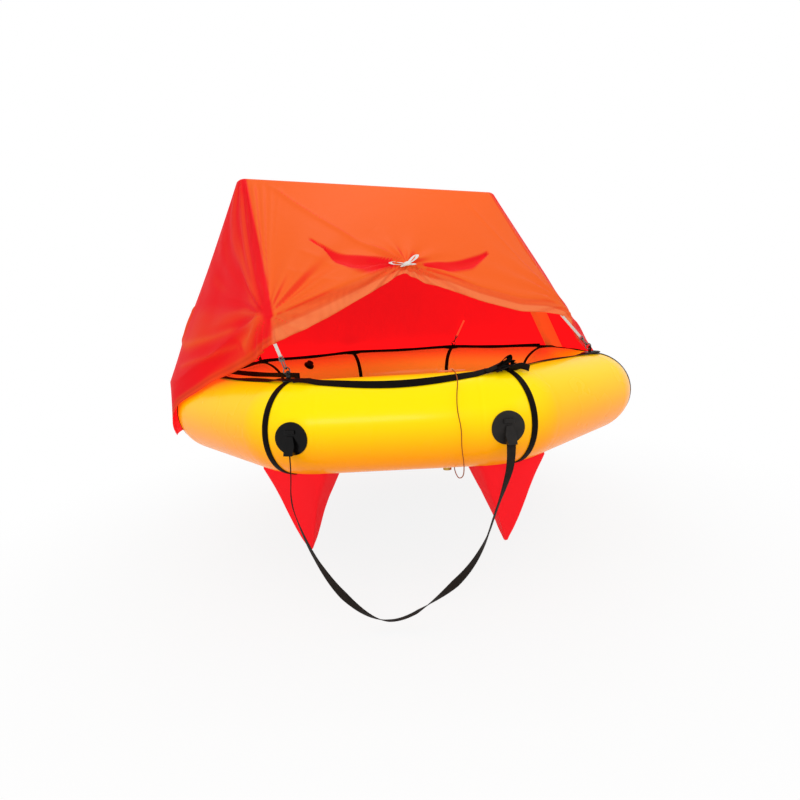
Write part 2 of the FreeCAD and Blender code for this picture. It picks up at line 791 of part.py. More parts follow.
def lifeline_points(start_angle, droop, lean_start, lean_end):
    """Points and normals of the grab line over the tube, from one corner almost to the next."""
    points = []
    normals = []
    for share in lifeline_shares():
        angle = start_angle + corner_turn * share
        on_patch = min(share, 1 - share) * side_length < patch_half_length + patch_margin + line_landing / 2
        gap = lifeline_lift + lifeline_thickness / 2
        if on_patch:
            gap += patch_thickness
        lean = lean_start + (lean_end - lean_start) * share
        around = 90.0 - lean - (droop - lean) * math.sin(math.pi * share)
        skin = ring_point(angle, 0, around)
        centre = ring_point(angle, -tube_radius, around)
        points.append(ring_point(angle, gap, around))
        normals.append((skin - centre).normalize())
    return points, normals


def outer_lifeline():
    """Webbing grab line round the top of the tube, over the patches and inboard of the arch's feet."""
    droops = {67.5: pulled_droop, 112.5: front_droop}
    leans = {0.0: arch_lean, 180.0: arch_lean}
    points = []
    normals = []
    for index in range(side_count):
        start = corner_turn * index
        end = (start + corner_turn) % 360
        droop = droops.get(start + corner_turn / 2, side_droop)
        side_points, side_normals = lifeline_points(start, droop, leans.get(start, corner_lean),
                                                    leans.get(end, corner_lean))
        points += side_points
        normals += side_normals
    return ribbon(points, normals, lifeline_width, lifeline_thickness, closed=True)


def inner_lifeline():
    """Webbing grab line inside the raft, on edge and drawn straight from patch to patch round the left
    side, the rear and the right side."""
    rho = tube_radius + skin_gap + patch_thickness
    height = tube_radius + math.sqrt(rho ** 2 - inner_line_offset ** 2) + skin_gap + inner_line_width / 2
    corner_distance = ring_distance(0.0, inner_line_offset)
    middle_distance = corner_distance * math.cos(math.radians(corner_turn / 2))
    points = []
    normals = []
    for step in range(2 * inner_line_sides + 1):
        distance = middle_distance if step % 2 else corner_distance
        turn = math.radians(inner_line_start + corner_turn / 2 * step)
        points.append(turned(distance * math.cos(turn), distance * math.sin(turn), height))
        normals.append(turned(math.cos(turn), math.sin(turn), 0))
    return ribbon(points, normals, inner_line_width, lifeline_thickness)


def lifeline_buckle():
    """Ladder buckle lying on the grab line: a frame with three bars."""
    frame = Part.makeBox(buckle_length, buckle_width, buckle_height,
                         Vector(-buckle_length / 2, -buckle_width / 2, 0))
    frame = frame.makeFillet(1.5, [edge for edge in frame.Edges if abs(edge.tangentAt(0).z) > 0.9])
    for side in (-1, 1):
        start = side * buckle_length / 4 - buckle_window / 2
        window = Part.makeBox(buckle_window, buckle_width - 2 * buckle_rim, 3 * buckle_height,
                              Vector(start, buckle_rim - buckle_width / 2, -buckle_height))
        frame = frame.cut(window)
    frame.rotate(Vector(0, 0, 0), Vector(0, 0, 1), buckle_turn)
    height = tube_top + patch_thickness + 2 * lifeline_thickness
    frame.translate(corner_point("b", buckle_offset, height))
    return frame


def floor(fat_tube):
    """Floor sheet fitted inside the lower quarter of the tube, notched round the bands."""
    reach = apothem - tube_radius / 4
    corners = []
    for index in range(side_count + 1):
        angle = math.radians(corner_turn * (index + 0.5))
        distance = reach / math.cos(math.radians(corner_turn / 2))
        corners.append(Vector(distance * math.cos(angle), distance * math.sin(angle), floor_height))
    sheet = Part.Face(Part.makePolygon(corners)).extrude(Vector(0, 0, floor_thickness))
    rooms = [at_corner(band_room(), name) for name in corner_names]
    return sheet.cut([fat_tube] + rooms)


def boarding_patch(side, fat_tube, cover_tube):
    """Round rubber patch on the tube's outer face with a moulded keeper and the sewn root of the strap.
    side is -1 at corner a and 1 at corner b."""
    outward = boarding_outward(side)
    centre = boarding_centre(side)
    across = Vector(-outward.y, outward.x, 0)
    disc = Part.makeCylinder(boarding_radius, 60.0, centre - outward * 40.0, outward)
    patch = disc.common(cover_tube).cut(fat_tube)
    face = centre + outward * boarding_thickness
    low = face - across * (keeper_width / 2) + Vector(0, 0, keeper_height) - outward * boarding_thickness
    keeper = Part.makeBox(keeper_width, keeper_rise + boarding_thickness, keeper_depth)
    keeper = keeper.makeFillet(2.0, keeper.Edges)
    matrix = FreeCAD.Matrix(across.x, outward.x, 0, low.x, across.y, outward.y, 0, low.y, 0, 0, 1, low.z,
                            0, 0, 0, 1)
    keeper.transformShape(matrix, True)
    root_sections = []
    for height, half_width, depth in strap_root:
        back = centre + Vector(0, 0, height)
        front = face + Vector(0, 0, height) + outward * depth
        corners = [back - across * half_width, back + across * half_width, front + across * half_width,
                   front - across * half_width]
        root_sections.append(Part.makePolygon(corners + [corners[0]]))
    root = Part.makeLoft(root_sections, True, True).cut(fat_tube)
    return patch.fuse([keeper, root]).removeSplitter()


def boarding_outward(side):
    """Outward direction of the tube's skin under a boarding patch."""
    bend_x = bend_centre * math.sin(math.radians(corner_turn / 2))
    lean = math.asin((boarding_half_spacing - bend_x) / (corner_bend + tube_radius))
    return Vector(side * math.sin(lean), -math.cos(lean), 0)


def boarding_centre(side):
    """Middle of a boarding patch on the tube's skin."""
    half = math.radians(corner_turn / 2)
    bend = Vector(side * bend_centre * math.sin(half), -bend_centre * math.cos(half), boarding_height)
    return bend + boarding_outward(side) * (corner_bend + tube_radius)


def strap_end(side):
    """Middle of the root's lower face, where the hanging strap begins."""
    outward = boarding_outward(side)
    reach = boarding_thickness + strap_width / 2
    return boarding_centre(side) + outward * reach + Vector(0, 0, strap_root[-1][0])


def stretched(shape, x, y, z):
    """Shape scaled by its own factor along each axis."""
    matrix = FreeCAD.Matrix()
    matrix.scale(x, y, z)
    return shape.transformGeometry(matrix)


def bow(cloth):
    """Bow of cord that ties the middle of the entrance hem up: a knot seated on the cloth, two loops
    and two ends."""
    left = lower_points("front", knot_share - 0.1)[0]
    right = lower_points("front", knot_share + 0.1)[0]
    facing = Vector(0, -0.6, 0.8)
    origin = lower_points("front", knot_share)[0] + facing * bow_seat
    pieces = []
    for side, tilt in zip((-1, 1), bow_loop_tilts):
        loop = stretched(Part.makeTorus(bow_loop_radius, bow_cord_radius), 2.2, 0.9, 1.0)
        loop.translate(Vector(side * bow_loop_reach, 0, 5.0))
        loop.rotate(Vector(0, 0, 0), Vector(0, 0, 1), side * tilt)
        end = Part.makeCylinder(bow_cord_radius, bow_end_length, Vector(0, 0, 3.0),
                                Vector(side * 0.5, -0.85, 0.25))
        pieces += [loop, end]
    knot = stretched(Part.makeSphere(bow_knot_radius), 1.3, 1.0, 0.9)
    shape = placed(knot.fuse(pieces), origin, facing, right - left)
    seated = cloth.copy()
    seated.translate(facing * skin_gap)
    return max(shape.cut(seated).Solids, key=lambda piece: piece.Volume)


def valve_frame():
    """Origin on the tube's skin, outward direction and a side direction of the valve."""
    middle = math.radians((corner_angle_of("m") + corner_angle_of("f")) / 2)
    outward = Vector(math.cos(middle), math.sin(middle), 0)
    along = Vector(-outward.y, outward.x, 0)
    around = math.radians(valve_angle)
    normal = outward * math.cos(around) + Vector(0, 0, math.sin(around))
    centre = outward * apothem + along * valve_along + Vector(0, 0, tube_radius)
    return centre + normal * tube_radius, normal, along


def valve_body(fat_tube):
    """Flange welded to the tube and the socket that takes the inflator's nozzle."""
    flange = Part.makeCylinder(valve_flange_radius, valve_flange_thickness + 6.0, Vector(0, 0, -6.0))
    body = Part.makeCylinder(valve_body_radius, valve_body_height)
    socket = Part.makeCylinder(valve_bore, valve_body_height, Vector(0, 0, valve_floor))
    stem_hole = Part.makeCylinder(poppet_stem + running_gap, 20.0, Vector(0, 0, -10.0))
    origin, normal, along = valve_frame()
    solid = flange.fuse(body).cut([socket, stem_hole])
    return placed(solid, origin, normal, along).cut(fat_tube)


def valve_poppet():
    """Sprung poppet in the middle of the socket, pressed in by the inflator's nozzle."""
    head_base = valve_floor + poppet_travel + skin_gap
    head = Part.makeCylinder(2 * poppet_stem, poppet_stem / 2, Vector(0, 0, head_base))
    stem = Part.makeCylinder(poppet_stem, head_base + 0.5 - poppet_base, Vector(0, 0, poppet_base))
    origin, normal, along = valve_frame()
    return placed(head.fuse(stem), origin, normal, along)


def valve_cap():
    """Push-on cap over the socket, with a pull tab."""
    base = valve_flange_thickness + skin_gap
    skirt = Part.makeCylinder(cap_radius, cap_height, Vector(0, 0, base))
    hollow = Part.makeCylinder(valve_body_radius + skin_gap, valve_body_height - base + skin_gap,
                               Vector(0, 0, base))
    tab = Part.makeBox(cap_tab_width, cap_tab_length, cap_wall,
                       Vector(-cap_tab_width / 2, cap_radius - 2.0, base + cap_height - cap_wall))
    origin, normal, along = valve_frame()
    return placed(skirt.cut(hollow).fuse(tab), origin, normal, along)


def cylinder_axis_height():
    """Height of the gas cylinder's axis under the floor."""
    return floor_height - 2 * skin_gap - sling_thickness - cylinder_radius


def gas_cylinder():
    """Gas cylinder with a domed base and a neck."""
    z = cylinder_axis_height()
    end = cylinder_end_x
    base_end = end - cylinder_length + cylinder_radius
    body = Part.makeCylinder(cylinder_radius, end - base_end, Vector(base_end, cylinder_y, z), Vector(1, 0, 0))
    base = Part.makeSphere(cylinder_radius, Vector(base_end, cylinder_y, z))
    shoulder = Part.makeCone(cylinder_radius, neck_radius + 1.0, shoulder_length, Vector(end, cylinder_y, z),
                             Vector(1, 0, 0))
    neck = Part.makeCylinder(neck_radius, neck_length, Vector(end + shoulder_length, cylinder_y, z),
                             Vector(1, 0, 0))
    return body.fuse([base, shoulder, neck]).removeSplitter()


def cylinder_sling(x):
    """Webbing loop that holds the cylinder, glued to the floor over it."""
    z = cylinder_axis_height()
    inner = cylinder_radius + skin_gap
    ring = Part.makeCylinder(inner + sling_thickness, sling_width, Vector(x, cylinder_y, z), Vector(1, 0, 0))
    foot = Part.makeBox(sling_width, 3 * cylinder_radius, sling_thickness,
                        Vector(x, cylinder_y - 1.5 * cylinder_radius, z + inner))
    bore = Part.makeCylinder(inner, 2 * sling_width, Vector(x - sling_width / 2, cylinder_y, z),
                             Vector(1, 0, 0))
    return ring.fuse(foot).cut(bore).removeSplitter()


def head_start():
    """Where the firing head meets the cylinder's neck."""
    return cylinder_end_x + shoulder_length + neck_length


def firing_head():
    """Brass firing head on the neck, with the lever's pin and the hose's outlet."""
    z = cylinder_axis_height()
    start = head_start()
    face = start + head_length
    body = Part.makeBox(head_length, head_size, head_size,
                        Vector(start, cylinder_y - head_size / 2, z - head_size / 2))
    body = body.makeFillet(3.0, body.Edges)
    outlet = Part.makeCylinder(hose_radius + port_wall, outlet_length,
                               Vector(start + head_length / 2, outlet_end(), z), Vector(0, 1, 0))
    pin = Part.makeCylinder(lever_pin, lever_thickness + 3.0, Vector(face - 1.0, cylinder_y, z),
                            Vector(1, 0, 0))
    washer = Part.makeCylinder(2 * lever_pin, 1.5, Vector(face + lever_thickness + 2 * skin_gap, cylinder_y, z),
                               Vector(1, 0, 0))
    return body.fuse([outlet, pin, washer]).removeSplitter()


def outlet_end():
    """Where the head's outlet ends, on the side of the entrance; its other end is 1 mm inside the head."""
    return cylinder_y - head_size / 2 + 1.0 - outlet_length


def lever_tip():
    """Middle of the lever's far end, on its outer face."""
    angle = math.radians(lever_rest)
    x = head_start() + head_length + skin_gap + lever_thickness
    reach = lever_length - 6.0
    return Vector(x, cylinder_y + reach * math.sin(angle), cylinder_axis_height() - reach * math.cos(angle))


def firing_lever():
    """Cam lever on the head's end, swung towards the entrance when the firing line is pulled."""
    x = head_start() + head_length + skin_gap
    hub = Part.makeCylinder(7.0, lever_thickness, Vector(x, 0, 0), Vector(1, 0, 0))
    arm = Part.makeBox(lever_thickness, 9.0, lever_length, Vector(x, -4.5, -lever_length))
    bore = Part.makeCylinder(lever_pin + running_gap, 3 * lever_thickness, Vector(x - lever_thickness, 0, 0),
                             Vector(1, 0, 0))
    lever = hub.fuse(arm).cut(bore)
    lever.rotate(Vector(0, 0, 0), Vector(1, 0, 0), lever_rest)
    lever.translate(Vector(0, cylinder_y, cylinder_axis_height()))
    return lever


def inlet_fitting(fat_tube):
    """Inlet on the tube's underside, with a side port for the hose."""
    x = head_start() + head_length / 2
    boss = Part.makeCylinder(inlet_radius, tube_radius, Vector(x, inlet_y, 2 * inlet_height))
    flange = Part.makeCylinder(inlet_flange_radius, tube_radius, Vector(x, inlet_y, -inlet_flange_thickness))
    port = Part.makeCylinder(hose_radius + port_wall, inlet_port_reach, Vector(x, inlet_y, inlet_height),
                             Vector(0, 1, 0))
    return boss.fuse([flange, port]).cut(fat_tube)


def inflation_hose():
    """Hose from the firing head's outlet to the inlet's port."""
    x = head_start() + head_length / 2
    start = Vector(x, inlet_y + inlet_port_reach + skin_gap, inlet_height)
    end = Vector(x, outlet_end() - skin_gap, cylinder_axis_height())
    points = [start, start + Vector(0, hose_run, 0), end - Vector(0, hose_run, 0), end]
    return swept_tube(rounded_path(points, cord_radii(points)), hose_radius)


def line_knot():
    """Knotted bundle of line on the front tube's crest, with a loop to each side."""
    pieces = []
    for side in (-1, 1):
        loop = stretched(Part.makeTorus(bundle_loop_radius, bundle_loop_wire), 1.9, 0.8, 1.0)
        loop.translate(Vector(side * bundle_loop_reach, 0, -1.5))
        pieces.append(loop)
    bundle = stretched(Part.makeSphere(bundle_radius), 1.2, 0.9, 0.75).fuse(pieces)
    bundle.translate(Vector(firing_line_x, bundle_inset - apothem, tube_top + skin_gap + 5.0))
    return bundle


def boarding_route():
    """Route of the hanging boarding strap, from corner a's patch to corner b's."""
    left = strap_end(-1)
    right = strap_end(1)
    hanging = [Vector(share * boarding_half_spacing, left.y - 1.0, z) for share, z in strap_hang]
    down = Vector(0, 0, -strap_drop)
    return [left, left + down] + hanging + [right + down, right]


def firing_route():
    """Route of the thin firing line: from the knot over the front tube and under it to the lever's face."""
    points = [Vector(firing_line_x + x, y - apothem, z) for x, y, z in firing_path]
    end = lever_tip() + Vector(line_end_gap, 0, 0)
    run = end + Vector(line_end_run, 0, 0)
    return points + [run + Vector(2.0, -line_end_turn, 0), run, end]


def export(name, shape):
    """Write one sub-part."""
    shape.exportStep("parts/" + name + ".step")
    print(name, "volume", round(shape.Volume), "solids", len(shape.Solids), "valid", shape.isValid())


tube = octagon_pipe(tube_radius)
fat_tube = octagon_pipe(tube_radius + skin_gap)
cover_tube = octagon_pipe(tube_radius + skin_gap + boarding_thickness)
export("buoyancy_tube", tube)
export("floor", floor(fat_tube))
foot_rooms = [at_corner(band_room(), name) for name in ("d", "l")]
export("arch_tube", arch(arch_radius).cut([fat_tube] + foot_rooms))
fat_arch = arch(arch_radius + skin_gap)
cloth = canopy()
export("canopy", cloth)
export("door_tie", bow(cloth))
band = corner_band()
ties = {name: tie_pieces(name) for name in ("a", "c", "n", "f")}
for name in corner_names:
    export("corner_band_" + name, at_corner(band, name))
    lean = ties[name][4] - corner_angle_of(name) if name in ties else None
    patch = corner_patch(lean, tab_shifts.get(name))
    export("corner_patch_" + name, at_corner(patch, name).cut(fat_arch))
for name, (ring, hook, gate, tape, lean) in ties.items():
    export("tie_ring_" + name, ring)
    export("snap_hook_" + name, hook)
    export("hook_gate_" + name, gate)
    export("tie_tape_" + name, tape)
for name in bag_corners:
    export("ballast_bag_" + name, at_corner(ballast_bag(at_corner(fat_tube, "d")), name))
export("outer_lifeline", outer_lifeline())
export("inner_lifeline", inner_lifeline())
export("lifeline_buckle", lifeline_buckle())
export("boarding_patch_left", boarding_patch(-1, fat_tube, cover_tube))
export("boarding_patch_right", boarding_patch(1, fat_tube, cover_tube))
export("boarding_strap", cord("boarding strap", boarding_route(), strap_width))
origin, normal, along = valve_frame()
print("valve origin", [round(value, 2) for value in origin], "normal", [round(value, 4) for value in normal])
pivot = Vector(head_start() + head_length, cylinder_y, cylinder_axis_height())
print("lever pivot", [round(value, 3) for value in pivot])
export("valve_body", valve_body(fat_tube))
export("valve_poppet", valve_poppet())
export("valve_cap", valve_cap())
export("gas_cylinder", gas_cylinder())
export("cylinder_sling_left", cylinder_sling(cylinder_end_x - 0.8 * cylinder_length))
export("cylinder_sling_right", cylinder_sling(cylinder_end_x - 0.25 * cylinder_length))
export("firing_head", firing_head())
export("firing_lever", firing_lever())
export("inlet_fitting", inlet_fitting(fat_tube))
export("inflation_hose", inflation_hose())
export("firing_line", cord("firing line", firing_route(), line_diameter))
export("line_knot", line_knot())
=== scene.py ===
# %% [markdown]
# An inflated liferaft with a tent canopy. Everything soft on it is cloth or webbing, so this lesson
# is mostly about surfaces: each one is a formula with two parameters, worked out for the whole grid
# at once and then handed to Blender as a mesh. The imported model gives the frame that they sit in.

# %% Load the frame
import math
import bpy
import numpy as np
from mathutils import Matrix


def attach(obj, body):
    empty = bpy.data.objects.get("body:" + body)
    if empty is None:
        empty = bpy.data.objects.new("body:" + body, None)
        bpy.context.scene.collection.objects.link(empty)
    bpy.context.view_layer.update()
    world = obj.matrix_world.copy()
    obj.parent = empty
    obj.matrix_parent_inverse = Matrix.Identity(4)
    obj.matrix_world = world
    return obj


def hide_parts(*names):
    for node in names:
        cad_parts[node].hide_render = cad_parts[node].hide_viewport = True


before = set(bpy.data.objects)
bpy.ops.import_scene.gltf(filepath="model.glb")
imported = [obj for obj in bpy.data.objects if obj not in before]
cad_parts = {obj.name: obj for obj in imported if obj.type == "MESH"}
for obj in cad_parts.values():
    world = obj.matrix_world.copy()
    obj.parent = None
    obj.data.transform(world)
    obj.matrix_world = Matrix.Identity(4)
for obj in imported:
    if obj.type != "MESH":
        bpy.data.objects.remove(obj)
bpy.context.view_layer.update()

# %% [markdown]
# A photograph of a product is taken from one place with one lens. The raft's straight edges and its
# eight equal sides were enough to work out where that place was, so the camera below stands there.
# Its three axes come from a yaw, a pitch down and a small roll.

# %% Camera
camera_place = np.array([0.0389, -2.1144, 0.4173])
camera_yaw, camera_pitch, camera_roll = -0.0251, -0.1516, -0.0577
camera_lens = 21.317


def camera_axes(yaw, pitch, roll):
    """Forward from yaw and pitch, then right and up turned about it by the roll."""
    forward = np.array([math.sin(yaw) * math.cos(pitch), math.cos(yaw) * math.cos(pitch), math.sin(pitch)])
    level = np.cross(forward, [0.0, 0.0, 1.0])
    level /= np.linalg.norm(level)
    upright = np.cross(level, forward)
    right = math.cos(roll) * level + math.sin(roll) * upright
    up = -math.sin(roll) * level + math.cos(roll) * upright
    return right, up, forward


def placed_axes(x_axis, y_axis, z_axis, place):
    """Four by four matrix whose columns are three axes and a place."""
    columns = np.eye(4)
    columns[:3] = np.stack([x_axis, y_axis, z_axis, place], -1)
    return Matrix(columns.tolist())


camera_data = bpy.data.cameras.new("camera")
camera_data.sensor_width = 36.0
camera_data.lens = camera_lens
camera_data.clip_start = 0.05
camera_data.clip_end = 200.0
camera = bpy.data.objects.new("camera", camera_data)
bpy.context.scene.collection.objects.link(camera)
right, up, forward = camera_axes(camera_yaw, camera_pitch, camera_roll)
camera.matrix_world = placed_axes(right, up, -forward, camera_place)
bpy.context.scene.camera = camera
print("camera at", camera_place)

# %% [markdown]
# Colours are written as sRGB hex codes, the way a picture editor shows them. A renderer works in
# linear light, so one function turns them. Another adds a node with its settings and its inputs,
# where an input is a plain value or another node's output.

# %% Colour and node helpers


def linear(code):
    """sRGB hex to linear light: a straight line below 0.04045, a power of 2.4 above."""
    srgb = np.array([int(code[i:i + 2], 16) / 255 for i in (1, 3, 5)])
    return np.where(srgb <= 0.04045, srgb / 12.92, ((srgb + 0.055) / 1.055) ** 2.4)


def plug(tree, node, **inputs):
    """Set or link sockets of a node, by their name or identifier."""
    for name, value in inputs.items():
        names = (name, name.replace("_", " "))
        socket = next(s for s in node.inputs if s.identifier in names or s.name in names)
        if isinstance(value, bpy.types.NodeSocket):
            tree.links.new(value, socket)
        elif socket.type == "RGBA":
            socket.default_value = (*value, 1.0)
        else:
            socket.default_value = value


def add(tree, kind, settings=None, **inputs):
    """Add a node. settings are its own properties, inputs are values or outputs for its sockets."""
    node = tree.nodes.new("ShaderNode" + kind)
    for name, value in (settings or {}).items():
        setattr(node, name, value)
    plug(tree, node, **inputs)
    return node


def new_material(name):
    """Empty node tree with a Principled shader on the output."""
    material = bpy.data.materials.new(name)
    material.use_nodes = True
    tree = material.node_tree
    tree.nodes.clear()
    shader = add(tree, "BsdfPrincipled")
    add(tree, "OutputMaterial", Surface=shader.outputs["BSDF"])
    return material, tree, shader


# %% [markdown]
# The canopy is polyurethane-coated polyester. The coating gives a soft satin sheen. Light and shade are painted
# into the colour: a panel that faces the light is painted orange, one that is turned away is painted red as its
# shade, and the cloth glows a little as painted light. That colour is worked out with the shape and stored on
# the mesh, and the material only reads it. A fine plain weave shows up as bump, drawn at 2 mm where the real
# threads are half a millimetre apart, because finer ones would vanish.

# %% Coated polyester of the canopy
thread_spacing = 0.002


def wave_scale(spacing):
    """Scale of a Wave texture whose bands lie a spacing apart, in metres."""
    return 2 * math.pi / 20 / spacing


def coated_polyester(name, roughness, glow):
    """Cloth in the colour stored on the mesh, with a plain weave on the piece's own UV map. glow is painted
    light: the cloth emits its own colour, standing in for the light that comes through from the other side."""
    material, tree, shader = new_material(name)
    colour = add(tree, "Attribute", {"attribute_name": "cloth_colour"})
    place = add(tree, "UVMap", {"uv_map": "UVMap"})
    warp, weft = (add(tree, "TexWave", {"bands_direction": way}, Vector=place.outputs["UV"],
                      Scale=wave_scale(thread_spacing)) for way in "XY")
    weave = add(tree, "Math", {"operation": "ADD"}, Value=warp.outputs["Fac"], Value_001=weft.outputs["Fac"])
    creases = add(tree, "TexNoise", Vector=place.outputs["UV"], Scale=14.0, Detail=5.0, Distortion=0.8)
    fine = add(tree, "Bump", Height=weave.outputs["Value"], Strength=0.10, Distance=0.0004)
    soft = add(tree, "Bump", Height=creases.outputs["Fac"], Strength=0.25, Distance=0.006,
               Normal=fine.outputs["Normal"])
    plug(tree, shader, Base_Color=colour.outputs["Color"], Roughness=roughness, Normal=soft.outputs["Normal"],
         Specular_IOR_Level=0.03, Emission_Color=colour.outputs["Color"], Emission_Strength=glow)
    return material


# Each cloth's glow is painted light: a little on the canopy, more on the red bags and most on the lining inside
# the tent.
canopy_cloth = coated_polyester("coated_polyester_orange", 0.5, 0.16)
bag_cloth = coated_polyester("coated_polyester_red", 0.5, 0.3)
lining_cloth = coated_polyester("coated_polyester_lining", 0.6, 0.5)

# %% [markdown]
# The tube is nylon with a thick rubber coating, welded in panels. The coating is smooth with a thin gloss over
# it. Shade is painted into its colour, lemon yellow where it faces the light and a warm orange-yellow where it
# turns away, and the skin glows a little as painted light.

# %% Rubber-coated nylon of the tube


def coated_nylon(name, roughness, glow):
    """Smooth coating over a faint cloth grain, in the colour stored on the mesh. glow is painted light: the
    skin emits its own colour, standing in for the light that the thin skin lets through."""
    material, tree, shader = new_material(name)
    colour = add(tree, "Attribute", {"attribute_name": "skin_colour"})
    place = add(tree, "TexCoord")
    grain = add(tree, "TexNoise", Vector=place.outputs["Object"], Scale=420.0, Detail=2.0)
    drift = add(tree, "TexNoise", Vector=place.outputs["Object"], Scale=5.0, Detail=3.0)
    fine = add(tree, "Bump", Height=grain.outputs["Fac"], Strength=0.05, Distance=0.0006)
    soft = add(tree, "Bump", Height=drift.outputs["Fac"], Strength=0.10, Distance=0.01,
               Normal=fine.outputs["Normal"])
    patchy = add(tree, "MapRange", Value=drift.outputs["Fac"], To_Min=roughness - 0.04,
                 To_Max=roughness + 0.06)
    plug(tree, shader, Base_Color=colour.outputs["Color"], Roughness=patchy.outputs["Result"],
         Normal=soft.outputs["Normal"], Specular_IOR_Level=0.07, Coat_Weight=0.08, Coat_Roughness=0.12,
         Emission_Color=colour.outputs["Color"], Emission_Strength=glow)
    return material


tube_skin = coated_nylon("rubber_coated_nylon_yellow", 0.26, 0.2)

# %% [markdown]
# Webbing is woven flat from thick yarn, in ribs that cross the strap every couple of millimetres.
# On a black strap that rib is what keeps it from looking like tape, so it is bump along the strap
# with a small change of colour. Cords and tapes use the same ribs. Moulded rubber, brass, steel and
# plastic follow as plain finishes with a little wear.

# %% Webbing, rubber, plastic and metal


def webbing_material(name, dark, light, roughness, rib=0.0022, glow=0.0):
    """Ribbed webbing: bands along the strap by its UV map, darker between the ribs. glow is painted light: the
    webbing emits its own colour, standing in for the light of the lining round a piece that hangs in the tent."""
    material, tree, shader = new_material(name)
    place = add(tree, "UVMap", {"uv_map": "UVMap"})
    ribs = add(tree, "TexWave", {"bands_direction": "X"}, Vector=place.outputs["UV"], Scale=wave_scale(rib),
               Distortion=0.6, Detail=1.0)
    fuzz = add(tree, "TexNoise", Vector=place.outputs["UV"], Scale=60.0, Detail=4.0)
    blend = add(tree, "Math", {"operation": "MULTIPLY"}, Value=ribs.outputs["Fac"],
                Value_001=fuzz.outputs["Fac"])
    colour = add(tree, "MixRGB", Fac=blend.outputs["Value"], Color1=linear(dark), Color2=linear(light))
    bump = add(tree, "Bump", Height=ribs.outputs["Fac"], Strength=0.4, Distance=0.0006)
    plug(tree, shader, Base_Color=colour.outputs["Color"], Roughness=roughness, Normal=bump.outputs["Normal"],
         Specular_IOR_Level=0.05, Emission_Color=colour.outputs["Color"], Emission_Strength=glow)
    return material


def moulded_material(name, colour, roughness, metallic=0.0, wear="#000000", speck=350.0, bump=0.08):
    """Moulded or machined finish: fine grain on Object coordinates and a faint change of tone."""
    material, tree, shader = new_material(name)
    place = add(tree, "TexCoord")
    grain = add(tree, "TexNoise", Vector=place.outputs["Object"], Scale=speck, Detail=3.0)
    tone = add(tree, "TexNoise", Vector=place.outputs["Object"], Scale=30.0, Detail=4.0)
    worn = add(tree, "MapRange", Value=tone.outputs["Fac"], From_Min=0.45, From_Max=0.75, To_Max=0.5)
    mixed = add(tree, "MixRGB", Fac=worn.outputs["Result"], Color1=linear(colour), Color2=linear(wear))
    relief = add(tree, "Bump", Height=grain.outputs["Fac"], Strength=bump, Distance=0.0005)
    rough = add(tree, "MapRange", Value=tone.outputs["Fac"], To_Min=roughness - 0.05, To_Max=roughness + 0.08)
    plug(tree, shader, Base_Color=mixed.outputs["Color"], Roughness=rough.outputs["Result"],
         Metallic=metallic, Normal=relief.outputs["Normal"], Specular_IOR_Level=0.5 if metallic else 0.15)
    return material


black_webbing = webbing_material("polyester_webbing_black", "#080403", "#1E130E", 0.55)
grey_webbing = webbing_material("polyester_webbing_weathered", "#191411", "#403833", 0.6)
white_tape = webbing_material("cotton_tape_white", "#D9D6CF", "#FFFFFF", 0.7, 0.0016)
# The orange tape inside the tent has a painted glow.
orange_tape = webbing_material("cotton_tape_orange", "#F4623A", "#FF8A60", 0.7, 0.0016, 0.4)
black_rubber = moulded_material("moulded_rubber_black", "#050404", 0.22, wear="#120E0C")
grey_rubber = moulded_material("moulded_rubber_grey", "#211E1C", 0.45, wear="#322E2B")
black_nylon = moulded_material("moulded_nylon_black", "#0B0A0A", 0.4, wear="#1C1A19")
steel = moulded_material("stainless_steel_brushed", "#7A7876", 0.32, 1.0, "#3F3E3C", 600.0, 0.04)
brass = moulded_material("brass_machined", "#C49A4A", 0.3, 1.0, "#8B6A34", 600.0, 0.04)
cylinder_paint = moulded_material("enamel_grey", "#6D7175", 0.35, wear="#565A5D")
floor_rubber = moulded_material("rubber_coated_floor", "#26211F", 0.5, wear="#332D2A", speck=500.0)
# The arch under the tent has twice the tube's painted glow.
arch_skin = coated_nylon("rubber_coated_nylon_orange", 0.45, 0.4)
bow_cord = webbing_material("braided_cord_white", "#E8E4DC", "#FFFFFF", 0.6, 0.003)
# The brown firing line has a faint painted glow.
line_cord = webbing_material("braided_line_brown", "#8A4418", "#C06A30", 0.6, 0.002, 0.2)
knot_cord = webbing_material("braided_line_orange", "#F08A5E", "#FFD0B0", 0.6, 0.002)

# %% [markdown]
# Every new piece is a grid of points. This helper joins neighbours into quads, closes the grid where
# it runs round, adds a fan at open ends, lays a UV map in metres over it and makes sure that the
# faces of a closed piece point outwards, which it reads from the sign of the enclosed volume.

# %% From a grid of points to a mesh
MM = 0.001


def lengths(points, closed):
    """Mean distance travelled along the first axis of a grid, in metres, with one more entry when
    the grid is closed."""
    loop = np.concatenate([points, points[:1]]) if closed else points
    steps = np.linalg.norm(np.diff(loop, axis=0), axis=-1).mean(axis=-1)
    return np.concatenate([[0.0], np.cumsum(steps)]) * MM


